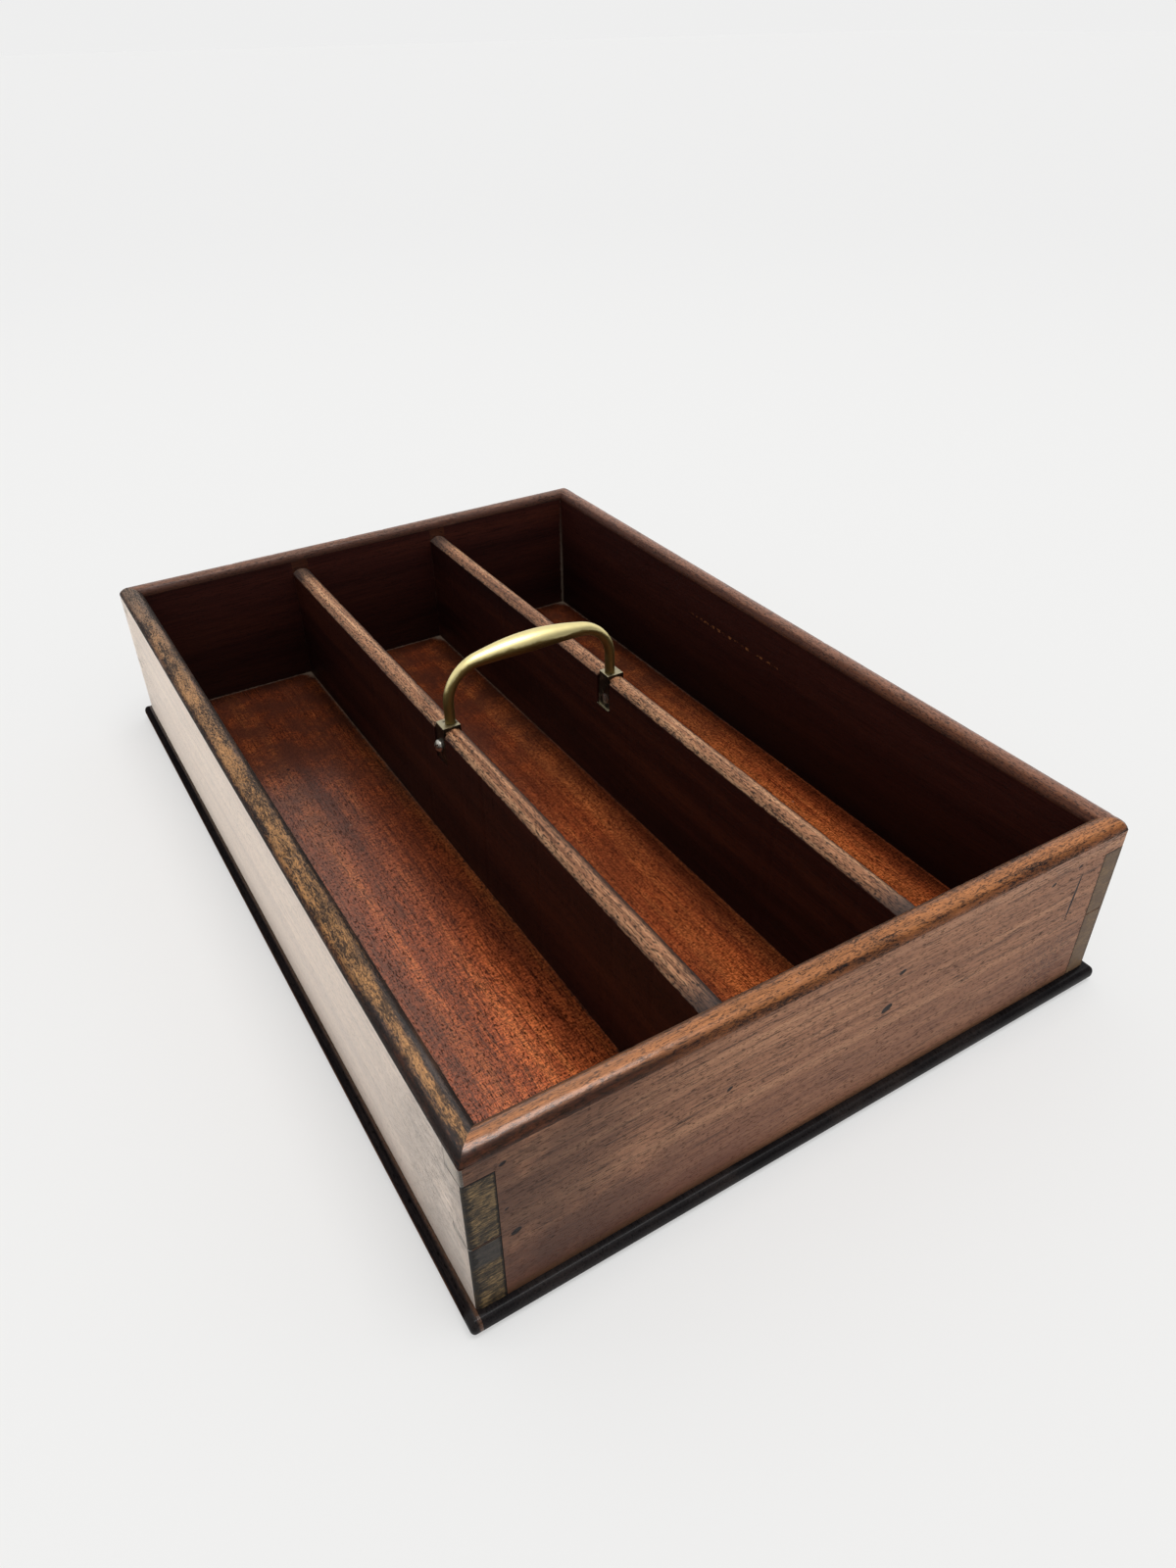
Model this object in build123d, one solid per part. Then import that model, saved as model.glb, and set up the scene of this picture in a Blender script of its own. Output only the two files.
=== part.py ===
from build123d import *
import os
from math import asin, cos, pi, sin, sqrt

# Open cutlery tray: a dovetailed hardwood box on a projecting base board, capped by a bullnose rim,
# split into three by two dividers, and carried by a fixed brass bail.
# Millimetres, +Z up, +Y along the dividers; the origin is the centre of the base board's underside.

# ---------------------------------------------------------------- driving dimensions
# Carcase
tray_length = 381.0             # outside the end boards, along Y
tray_width = 254.0              # outside the side boards, along X
wall_height = 64.5              # base board to the underside of the rim
wall_thickness = 9.5

# Base board
base_thickness = 6.4
base_overhang = 3.6             # shows all round the walls
base_edge_radius = 2.9          # rounding of its upper and lower edges

# Rim strips
rim_height = 4.0
rim_crown_rise = 1.1            # of the shallow arc across its top
rim_shoulder_radius = 2.4       # between that arc and the straight sides

# Dividers
divider_thickness = 8.6
divider_spacing = 78.0          # between their centre planes
divider_set_down = 4.5          # underside of the rim to the top of the crown
divider_crown_rise = 2.0
groove_depth = 3.0              # housing in the end boards

# Through dovetails: tails on the side boards, pins on the end boards
pin_flare = 1.0 / 7.0           # widening of a pin on each side, per mm towards its root
needle_pin_width = 0.5          # at its tip
needle_pin_height = 29.6        # base board to its middle
top_pin_width = 6.9             # at its tip, under the rim

# Saddles: forged brass stirrups that straddle the dividers
handle_set_back = 1.7           # bail and saddles stand this far behind the middle of the tray
strap_thickness = 1.0
strap_sink = 0.4                # how far the straps lie below the divider's faces
strap_drop = 16.0               # top of the divider's crown to the strap's foot
strap_foot_width = 9.4          # along Y
plate_width = 7.2               # along Y
plate_thickness = 1.2           # over the top of the crown
plate_corner_radius = 0.45
notch_clearance = 0.3           # round the strap's foot, in the divider's notch
toe_reach = 0.5                 # turned-out foot of the right-hand saddle
toe_thickness = 0.7

# Bail
leg_diameter = 4.4
leg_inset = 0.9                 # legs stand this far inside the dividers' centre planes
bail_rise = 26.2                # saddle plate to the middle of the grip
bend_radius = 16.5
grip_arch_radius = 185.0
grip_width = 9.8
grip_thickness = 8.6
grip_swell_reach = 41.0         # along the bail, from the middle of the grip to where the swelling ends
tenon_diameter = 2.8            # passes through the saddle plate and is peened over
peg_clearance = 0.04            # radial, round tenons and screw shanks

# Saddle screws
saddle_screw_diameter = 2.0
saddle_screw_length = 5.8       # from the strap's outer face to the tip
saddle_screw_stagger = 1.15     # opposite screws pass each other by twice this
round_head_diameter = 5.4
round_head_height = 2.5
round_head_side = 0.8           # straight part of the head's height, below the dome
round_screw_drop = 9.0          # below the top of the divider's crown
flat_head_diameter = 4.8
flat_head_rim = 0.25            # straight edge above the countersink
flat_screw_drop = 10.8
round_slot_turn = -41.0         # driving slots, from the upright
flat_slot_turn = 24.0
saddle_slot_width = 0.8
saddle_slot_depth = 0.9

# Base nails: cut iron nails, driven up through the base board into the walls
nail_length = 24.0              # over the head
nail_thickness = 1.8            # across the wall
nail_width = 2.9                # under the head, along the wall
nail_point_width = 1.1
nail_head_length = 4.4
nail_head_width = 3.0
nail_head_thickness = 1.1
nail_recess = 0.3               # heads are punched this far below the underside
side_nail_count = 4             # spaced evenly along each wall
end_nail_count = 3

# Modelling constants
overcut = 1.0                   # how far a cutting solid runs past the face it cuts
leg_spans, bend_spans, arch_spans = 1, 12, 10       # lofted spans in each stretch of the bail
rounding_limit = 0.49           # largest share of a board's thickness that a rounded edge takes

# ---------------------------------------------------------------- levels and planes
floor_z = base_thickness
wall_top = floor_z + wall_height
crown_z = wall_top - divider_set_down
divider_arris_z = crown_z - divider_crown_rise
plate_top = crown_z + plate_thickness
foot_z = crown_z - strap_drop

half_length = tray_length / 2
half_width = tray_width / 2
inner_half_length = half_length - wall_thickness
inner_half_width = half_width - wall_thickness
divider_half = divider_thickness / 2
divider_x = divider_spacing / 2
crown_radius = (divider_half ** 2 + divider_crown_rise ** 2) / (2 * divider_crown_rise)
strap_outer = divider_half - strap_sink
strap_inner = strap_outer - strap_thickness
leg_x = divider_x - leg_inset


# ---------------------------------------------------------------- helpers
def block(low, high):
    """Box between two opposite corners."""
    size = [high[i] - low[i] for i in range(3)]
    middle = [(high[i] + low[i]) / 2 for i in range(3)]
    return Pos(*middle) * Box(*size)


def crowned_section(thickness, low, arris, rise):
    """Cross-section of a board that stands on z = low and has a rounded top."""
    half = thickness / 2
    crown = ThreePointArc((half, arris), (0, arris + rise), (-half, arris))
    sides = Polyline((-half, arris), (-half, low), (half, low), (half, arris))
    return make_face([crown, sides])


def prism_along_x(outline, low, high):
    """Outline of (y, z) points, extruded from x = low to x = high."""
    face = Plane.YZ.offset(low) * make_face(Polyline(*outline, close=True))
    return extrude(face, high - low)


def prism_along_y(face, low, high):
    """Face drawn in (x, z), extruded from y = low to y = high."""
    return extrude(Plane.XZ.offset(-low) * face, -(high - low))


def mirrored_point(point):
    """Point on the other side of the YZ plane."""
    return (-point[0], point[1], point[2])


def mirrored(solid, plane):
    """Copy of a solid on the other side of a plane."""
    return mirror(solid, about=plane)


def save(node, *solids):
    """Write one node, with each of its solids kept separate."""
    shape = solids[0] if len(solids) == 1 else Compound(children=list(solids))
    export_step(shape, f"parts/{node}.step")


def single(shape):
    """The one solid that a boolean operation leaves."""
    return shape.solids()[0]


# ---------------------------------------------------------------- carcase
def rounded_board_section(width):
    """Cross-section of the base board, with a worn, rounded edge at both ends."""
    radius = min(base_edge_radius, rounding_limit * base_thickness)
    section = Pos(0, base_thickness / 2) * Rectangle(width, base_thickness)
    return fillet(section.vertices(), radius)


def base_board():
    """Both edge sections are extruded and crossed, so the rounded edges meet in a mitre at each corner."""
    board_length = tray_length + 2 * base_overhang
    board_width = tray_width + 2 * base_overhang
    along = prism_along_y(rounded_board_section(board_width), -board_length / 2, board_length / 2)
    face_across = Plane.YZ.offset(-board_width / 2) * rounded_board_section(board_length)
    across = extrude(face_across, board_width)
    return single(along & across)


def pin_outlines():
    """(y, z) outlines of the two pins at the front end of a corner: needle pin and half pin under the rim."""
    tip, root = -half_length, -inner_half_length
    spread = pin_flare * wall_thickness
    needle_z = floor_z + needle_pin_height
    needle_tip = needle_pin_width / 2
    needle_root = needle_tip + spread
    needle = [(tip, needle_z - needle_tip), (tip, needle_z + needle_tip),
              (root, needle_z + needle_root), (root, needle_z - needle_root)]
    half_pin_z = wall_top - top_pin_width
    half_pin = [(tip, half_pin_z), (tip, wall_top), (root, wall_top), (root, half_pin_z - spread)]
    return [needle, half_pin]


def left_pins():
    """All pins that pass through the left side board, at both of its ends."""
    front = [prism_along_x(outline, -half_width, -inner_half_width) for outline in pin_outlines()]
    return front + [mirrored(pin, Plane.XZ) for pin in front]


def side_board():
    """Left side board with its tails: the full board less the sockets that the pins fill."""
    board = block((-half_width, -half_length, floor_z), (-inner_half_width, half_length, wall_top))
    for pin in left_pins():
        board = board - pin
    return single(board)


def end_board():
    """Front end board: its pins reach both outer faces, and two grooves house the dividers."""
    board = block((-inner_half_width, -half_length, floor_z), (inner_half_width, -inner_half_length, wall_top))
    for outline in pin_outlines():
        board = board + prism_along_x(outline, -half_width, half_width)
    for x in (-divider_x, divider_x):
        board = board - block((x - divider_half, -inner_half_length - groove_depth, floor_z - overcut),
                              (x + divider_half, -inner_half_length + overcut, wall_top + overcut))
    return single(board)


def rim_section():
    """Bullnose as wide as the wall: a shallow arc on top, run into straight sides by tighter curves."""
    section = crowned_section(wall_thickness, 0, rim_height - rim_crown_rise, rim_crown_rise)
    return fillet(section.vertices().group_by(Axis.Y)[-1], rim_shoulder_radius)


def rim_strip(run, offset):
    """Strip along Y, of the outside length run, centred over a wall at x = offset, mitred towards the tray."""
    strip = prism_along_y(Pos(offset, wall_top) * rim_section(), -run / 2, run / 2)
    outside, inside = offset - wall_thickness / 2, offset + wall_thickness / 2
    inner_run = run / 2 - wall_thickness
    footprint = make_face(Polyline((outside, -run / 2), (outside, run / 2), (inside, inner_run),
                                   (inside, -inner_run), close=True))
    return single(strip & extrude(Pos(0, 0, wall_top) * footprint, rim_height))


# ---------------------------------------------------------------- dividers and plugs
def crown_height_at(x):
    """Height of the divider's crown at a distance x from its middle plane."""
    return crown_z - crown_radius + sqrt(crown_radius ** 2 - x ** 2)


def shoulder_notch(side):
    """Pocket in one face of a divider, open at the top, that lets a saddle strap in."""
    notch_half = strap_foot_width / 2 + notch_clearance
    near, far = side * strap_inner, side * (divider_half + overcut)
    return block((min(near, far), handle_set_back - notch_half, foot_z - notch_clearance),
                 (max(near, far), handle_set_back + notch_half, crown_z + overcut))


def divider(x, drills):
    """Divider at x, with both shoulders notched for its saddle and drilled for the saddle's screws."""
    reach = inner_half_length + groove_depth
    board = prism_along_y(crowned_section(divider_thickness, floor_z, divider_arris_z, divider_crown_rise),
                          -reach, reach)
    for side in (-1, 1):
        board = board - shoulder_notch(side)
    for drill in drills:
        board = board - drill
    return Pos(x, 0, 0) * single(board)


def groove_plug(x):
    """Slip that fills the front groove over the divider, scribed to the divider's crown."""
    plug = block((-divider_half, -inner_half_length - groove_depth, divider_arris_z),
                 (divider_half, -inner_half_length, wall_top))
    crown = crowned_section(divider_thickness, floor_z, divider_arris_z, divider_crown_rise)
    plug = plug - prism_along_y(crown, -half_length, 0)
    return Pos(x, 0, 0) * single(plug)


# ---------------------------------------------------------------- screws
def shank(length):
    """Blunt shank of a hand-cut saddle screw along -Z; its top is at z = 0."""
    return Pos(0, 0, -length / 2) * Cylinder(saddle_screw_diameter / 2, length)


def screw_slot(top, reach):
    """Cutter for the driving slot of a head whose top is at z = top."""
    return block((-reach, -saddle_slot_width / 2, top - saddle_slot_depth),
                 (reach, saddle_slot_width / 2, top + overcut))


def round_head_screw():
    """Saddle screw with a domed head that bears on the strap at z = 0."""
    radius = round_head_diameter / 2
    dome_height = round_head_height - round_head_side
    dome_radius = (radius ** 2 + dome_height ** 2) / (2 * dome_height)
    dome = RadiusArc((0, round_head_height), (radius, round_head_side), dome_radius)
    foot = Polyline((radius, round_head_side), (radius, 0), (0, 0), (0, round_head_height))
    head = revolve(Plane.XZ * make_face([dome, foot]), Axis.Z)
    return single(head + shank(saddle_screw_length) - screw_slot(round_head_height, radius))


def flat_head_screw():
    """Saddle screw with a countersunk head, flush with z = 0."""
    radius = flat_head_diameter / 2
    cone_foot = -flat_head_rim - (radius - saddle_screw_diameter / 2)
    outline = Polyline((0, 0), (radius, 0), (radius, -flat_head_rim), (saddle_screw_diameter / 2, cone_foot),
                       (0, cone_foot), close=True)
    head = revolve(Plane.XZ * make_face(outline), Axis.Z)
    return single(head + shank(saddle_screw_length) - screw_slot(0, radius))


def shank_hole():
    """Cutter for the hole of a saddle screw's shank; its mouth is at z = 0 and it runs past that face."""
    depth = saddle_screw_length + peg_clearance
    return Pos(0, 0, (overcut - depth) / 2) * Cylinder(saddle_screw_diameter / 2 + peg_clearance, depth + overcut)


def countersunk_hole():
    """Cutter for a flat-headed saddle screw, with the countersink for its head."""
    hole = saddle_screw_diameter / 2 + peg_clearance
    radius = flat_head_diameter / 2 + peg_clearance
    cone_foot = -flat_head_rim - (radius - hole)
    outline = Polyline((0, overcut), (radius, overcut), (radius, -flat_head_rim), (hole, cone_foot),
                       (0, cone_foot), close=True)
    return revolve(Plane.XZ * make_face(outline), Axis.Z) + shank_hole()


def strap_position(side, drop, stagger):
    """Place on the outer face of the strap on side -1 or +1, pointing outwards, its own X axis upright.

    The two screws of a saddle are staggered, so that their shanks pass each other inside the divider.
    """
    return Pos(side * strap_outer, handle_set_back + side * stagger, crown_z - drop) * Rot(0, side * 90, 0)


# ---------------------------------------------------------------- saddles
def saddle_blank():
    """Stirrup before drilling: plate over the crown, with two straps that widen towards their feet."""
    outer = Pos(0, (foot_z + plate_top) / 2) * Rectangle(2 * strap_outer, plate_top - foot_z)
    outer = fillet(outer.vertices().group_by(Axis.Y)[-1], plate_corner_radius)
    core = crowned_section(2 * strap_inner, foot_z - overcut, crown_height_at(strap_inner),
                           crown_z - crown_height_at(strap_inner))
    stirrup = prism_along_y(outer - core, -strap_foot_width, strap_foot_width)
    plate_half, foot_half = plate_width / 2, strap_foot_width / 2
    shoulder_z = divider_arris_z
    outline = [(-plate_half, plate_top), (plate_half, plate_top), (plate_half, shoulder_z), (foot_half, foot_z),
               (-foot_half, foot_z), (-plate_half, shoulder_z)]
    return single(stirrup & prism_along_x(outline, -divider_thickness, divider_thickness))


def toe(side):
    """Foot of a strap, turned out over the divider's face."""
    inner, outer = side * strap_inner, side * (divider_half + toe_reach)
    return block((min(inner, outer), -strap_foot_width / 2, foot_z),
                 (max(inner, outer), strap_foot_width / 2, foot_z + toe_thickness))


def saddle(x, cutters, with_toes):
    """Saddle at x, with its tenon hole under the bail's leg and its two screw holes."""
    body = saddle_blank()
    if with_toes:
        body = body + toe(-1) + toe(1)
    tenon_x = leg_x - divider_x if x > 0 else divider_x - leg_x
    hole = Cylinder(tenon_diameter / 2 + peg_clearance, 2 * (plate_thickness + overcut))
    body = body - Pos(tenon_x, 0, plate_top) * hole
    body = Pos(0, handle_set_back, 0) * body
    for cutter in cutters:
        body = body - cutter
    return Pos(x, 0, 0) * single(body)


# ---------------------------------------------------------------- bail
def bail_path():
    """Centre line of the bail: vertical legs, tight bends, and a shallow arch that meets them tangentially."""
    grip_z = plate_top + bail_rise
    arch_z = grip_z - grip_arch_radius
    bend_x = leg_x - bend_radius
    arch_angle = asin(bend_x / (grip_arch_radius - bend_radius))
    bend_z = arch_z + (grip_arch_radius - bend_radius) * cos(arch_angle)
    middle_angle = (arch_angle + pi / 2) / 2
    middle = (bend_x + bend_radius * sin(middle_angle), 0, bend_z + bend_radius * cos(middle_angle))
    joint = (grip_arch_radius * sin(arch_angle), 0, arch_z + grip_arch_radius * cos(arch_angle))
    right_leg = Line((leg_x, 0, bend_z), (leg_x, 0, plate_top))
    right_bend = ThreePointArc(joint, middle, (leg_x, 0, bend_z))
    arch = ThreePointArc(mirrored_point(joint), (0, 0, grip_z), joint)
    left_bend = ThreePointArc((-leg_x, 0, bend_z), mirrored_point(middle), mirrored_point(joint))
    left_leg = Line((-leg_x, 0, plate_top), (-leg_x, 0, bend_z))
    return Wire([left_leg, left_bend, arch, right_bend, right_leg])


def bail_stations(path):
    """Shares of the path's length at which the bail's sections stand, closest together in the bends."""
    shares, run = [0.0], 0.0
    for stretch, spans in zip(path.edges(), (leg_spans, bend_spans, arch_spans, bend_spans, leg_spans)):
        shares += [(run + stretch.length * (index + 1) / spans) / path.length for index in range(spans)]
        run += stretch.length
    return [min(share, 1.0) for share in shares]


def bail_section(path, share):
    """Section square to the bail's path: round in the legs, swelling to a wide oval in the grip."""
    distance = abs(share - 0.5) * path.length
    swell = (1 + cos(pi * min(distance / grip_swell_reach, 1))) / 2
    half_wide = (leg_diameter + (grip_width - leg_diameter) * swell) / 2
    half_high = (leg_diameter + (grip_thickness - leg_diameter) * swell) / 2
    return Plane(origin=path @ share, x_dir=(0, 1, 0), z_dir=path % share) * Ellipse(half_wide, half_high)


def handle_bail():
    """Fixed bail: lofted span by span along its path, with a tenon at the foot of each leg."""
    path = bail_path()
    body = loft([bail_section(path, share) for share in bail_stations(path)], ruled=True)
    tenon_length = plate_thickness - peg_clearance
    for x in (-leg_x, leg_x):
        tenon = Cylinder(tenon_diameter / 2, tenon_length + overcut)
        body = body + Pos(x, 0, plate_top + (overcut - tenon_length) / 2) * tenon
    return Pos(0, handle_set_back, 0) * single(body)


# ---------------------------------------------------------------- base nails
def cut_nail(clearance):
    """Cut nail along +Z, tapered in its width along Y, with the face of its head at z = 0.

    A clearance grows it all round, for the pocket that it is driven into.
    """
    neck, point = nail_width / 2 + clearance, nail_point_width / 2 + clearance
    half, tip = nail_thickness / 2 + clearance, nail_length + clearance
    shank_outline = [(-neck, 0), (neck, 0), (point, tip), (-point, tip)]
    head = block((-nail_head_width / 2 - clearance, -nail_head_length / 2 - clearance, 0),
                 (nail_head_width / 2 + clearance, nail_head_length / 2 + clearance,
                  nail_head_thickness + clearance))
    return single(head + prism_along_x(shank_outline, -half, half))


def nail_pocket():
    """Cutter for a base nail, open below the head."""
    mouth = block((-nail_head_width / 2 - peg_clearance, -nail_head_length / 2 - peg_clearance,
                   -nail_recess - overcut),
                  (nail_head_width / 2 + peg_clearance, nail_head_length / 2 + peg_clearance, 0))
    return mouth + cut_nail(peg_clearance)


def nail_places(count, run, offset, turn):
    """Places of the nails under one wall: spaced evenly along its run, at an offset from the middle."""
    return [Rot(0, 0, turn) * Pos(offset, run * ((index + 0.5) / count - 0.5), nail_recess)
            for index in range(count)]


# ---------------------------------------------------------------- assembly
def drilled(board, cutters):
    """Board less every cutter that reaches it."""
    for cutter in cutters:
        board = board - cutter
    return single(board)


def build_all():
    """Model each piece once, mirror its twins, and write every node."""
    wall_x, wall_y = half_width - wall_thickness / 2, half_length - wall_thickness / 2
    left, right = [nail_places(side_nail_count, tray_length, x, 0) for x in (-wall_x, wall_x)]
    front, back = [nail_places(end_nail_count, tray_width, x, 90) for x in (-wall_y, wall_y)]
    nail, pocket = cut_nail(0), nail_pocket()
    save("base_nails", *[place * nail for place in left + right + front + back])
    save("base_board", drilled(base_board(), [place * pocket for place in left + right + front + back]))

    side_left = drilled(side_board(), [place * pocket for place in left])
    save("side_left", side_left)
    save("side_right", mirrored(side_left, Plane.YZ))
    end_front = drilled(end_board(), [place * pocket for place in front])
    save("end_front", end_front)
    save("end_back", mirrored(end_front, Plane.XZ))

    rim_left = rim_strip(tray_length, wall_thickness / 2 - half_width)
    save("rim_left", rim_left)
    save("rim_right", mirrored(rim_left, Plane.YZ))
    rim_front = Rot(0, 0, 90) * rim_strip(tray_width, wall_thickness / 2 - half_length)
    save("rim_front", rim_front)
    save("rim_back", mirrored(rim_front, Plane.XZ))

    round_screw, flat_screw = round_head_screw(), flat_head_screw()
    round_places = [strap_position(side, round_screw_drop, -saddle_screw_stagger) for side in (-1, 1)]
    flat_places = [strap_position(side, flat_screw_drop, saddle_screw_stagger) for side in (-1, 1)]
    round_holes = [place * shank_hole() for place in round_places]
    flat_holes = [place * countersunk_hole() for place in flat_places]
    save("saddle_screws_round", *[Pos(-divider_x, 0, 0) * place * Rot(0, 0, round_slot_turn) * round_screw
                                  for place in round_places])
    save("saddle_screws_flat", *[Pos(divider_x, 0, 0) * place * Rot(0, 0, flat_slot_turn) * flat_screw
                                 for place in flat_places])

    save("divider_left", divider(-divider_x, round_holes))
    save("divider_right", divider(divider_x, flat_holes))
    save("saddle_left", saddle(-divider_x, round_holes, False))
    save("saddle_right", saddle(divider_x, flat_holes, True))
    save("handle_bail", handle_bail())

    for name, x in (("left", -divider_x), ("right", divider_x)):
        plug = groove_plug(x)
        save(f"plug_front_{name}", plug)
        save(f"plug_back_{name}", mirrored(plug, Plane.XZ))


os.makedirs("parts", exist_ok=True)
build_all()
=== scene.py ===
"""Looks of an open mahogany cutlery tray with a fixed brass bail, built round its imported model.

Everything is in metres in the model's own frame: +X across the tray, +Y along its dividers, +Z up, and the
origin at the middle of the base board's underside. Sizes in the dataclasses are in millimetres.
"""

import logging
import math
from dataclasses import dataclass
from enum import Enum, IntEnum
from typing import Callable, Iterable, Optional, Sequence, Union

import bmesh
import bpy
from mathutils import Matrix, Vector, noise


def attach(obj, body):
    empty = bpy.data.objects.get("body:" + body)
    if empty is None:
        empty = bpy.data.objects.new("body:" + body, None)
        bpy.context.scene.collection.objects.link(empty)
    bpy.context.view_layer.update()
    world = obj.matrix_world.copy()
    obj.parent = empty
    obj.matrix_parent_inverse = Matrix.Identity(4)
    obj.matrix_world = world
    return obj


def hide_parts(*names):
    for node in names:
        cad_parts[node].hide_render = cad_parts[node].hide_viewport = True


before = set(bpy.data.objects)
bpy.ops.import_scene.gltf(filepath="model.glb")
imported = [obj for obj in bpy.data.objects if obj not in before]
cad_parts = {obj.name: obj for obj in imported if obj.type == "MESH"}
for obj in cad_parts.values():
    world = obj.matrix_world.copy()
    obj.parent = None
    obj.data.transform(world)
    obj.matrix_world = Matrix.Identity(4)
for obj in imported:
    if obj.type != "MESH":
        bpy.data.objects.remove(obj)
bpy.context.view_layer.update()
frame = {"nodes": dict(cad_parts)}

MM = 0.001
BODY = "root"
LOG = logging.getLogger("tray")

Colour = tuple[float, float, float]
Shades = tuple[Colour, Colour, Colour]
Point = tuple[float, float, float]

# sizes that several pieces share, in millimetres
HALF_X, HALF_Y = 127.0, 190.5
INNER_X, INNER_Y = 117.5, 181.0
LEDGE = 3.6
FLOOR_Z = 6.4
WALL_TOP_Z = 70.9
ARRIS_Z = 64.4
DIVIDER_X = 39.0
DIVIDER_HALF = 4.3
SET_BACK = 1.7
# two places closer than this are the same place
TOUCH = 0.01
# edges sharper than this many degrees are hard
HARD_EDGE = 35.0


# ------------------------------------------------------------------ shader graphs
class Grain(Enum):
    """Direction in which a board's fibres run."""

    ALONG_X = 0
    ALONG_Y = 1
    ALONG_Z = 2


class Signal:
    """An output socket of a shader graph, on which arithmetic adds Math nodes."""

    def __init__(self, graph: "Tree", socket: bpy.types.NodeSocket) -> None:
        """Wrap a socket.

        Args:
            graph: The graph that the socket belongs to.
            socket: The output socket.
        """
        self.graph = graph
        self.socket = socket

    def _math(self, operation: str, *operands: "Number", clamp: bool = False) -> "Signal":
        """Add a Math node.

        Args:
            operation: Blender's name of the operation.
            operands: Numbers or signals, in the node's order.
            clamp: Whether the result is kept between 0 and 1.

        Returns:
            The node's output.
        """
        settings = {"operation": operation, "use_clamp": clamp}
        made = self.graph.node("ShaderNodeMath", settings, dict(enumerate(operands)))
        return Signal(self.graph, made.outputs[0])

    def __add__(self, other: "Number") -> "Signal":
        """Sum."""
        return self._math("ADD", self, other)

    def __radd__(self, other: "Number") -> "Signal":
        """Sum, with the number first."""
        return self._math("ADD", other, self)

    def __sub__(self, other: "Number") -> "Signal":
        """Difference."""
        return self._math("SUBTRACT", self, other)

    def __rsub__(self, other: "Number") -> "Signal":
        """Difference, with the number first."""
        return self._math("SUBTRACT", other, self)

    def __mul__(self, other: "Number") -> "Signal":
        """Product."""
        return self._math("MULTIPLY", self, other)

    def __rmul__(self, other: "Number") -> "Signal":
        """Product, with the number first."""
        return self._math("MULTIPLY", other, self)

    def __truediv__(self, other: "Number") -> "Signal":
        """Quotient."""
        return self._math("DIVIDE", self, other)

    def __pow__(self, other: "Number") -> "Signal":
        """Power."""
        return self._math("POWER", self, other)

    def __abs__(self) -> "Signal":
        """Absolute value."""
        return self._math("ABSOLUTE", self)

    def least(self, other: "Number") -> "Signal":
        """Smaller of two."""
        return self._math("MINIMUM", self, other)

    def most(self, other: "Number") -> "Signal":
        """Larger of two."""
        return self._math("MAXIMUM", self, other)

    def clamped(self) -> "Signal":
        """The same value, kept between 0 and 1."""
        return self._math("ADD", self, 0.0, clamp=True)

    def step(self, low: float, high: float) -> "Signal":
        """Smooth step.

        Args:
            low: Value at which the step is 0.
            high: Value at which the step is 1; it may be less than low.

        Returns:
            A signal from 0 to 1.
        """
        if low > high:
            return 1 - self.step(high, low)
        settings = {"interpolation_type": "SMOOTHSTEP"}
        made = self.graph.node("ShaderNodeMapRange", settings,
                               {"Value": self, "From Min": low, "From Max": high})
        return Signal(self.graph, made.outputs[0])

    def band(self, middle: float, reach: float, soft: float) -> "Signal":
        """Mask of a band of values.

        Args:
            middle: Middle of the band.
            reach: Half the band's width, to the middle of its soft edge.
            soft: Width of each soft edge.

        Returns:
            1 inside the band and 0 outside it.
        """
        return abs(self - middle).step(reach + soft / 2, reach - soft / 2)

    def beside(self, distance: float) -> "Signal":
        """Distance from a pair of planes that stand this far to both sides of 0."""
        return abs(abs(self) - distance)


Number = Union[float, Signal]


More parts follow.
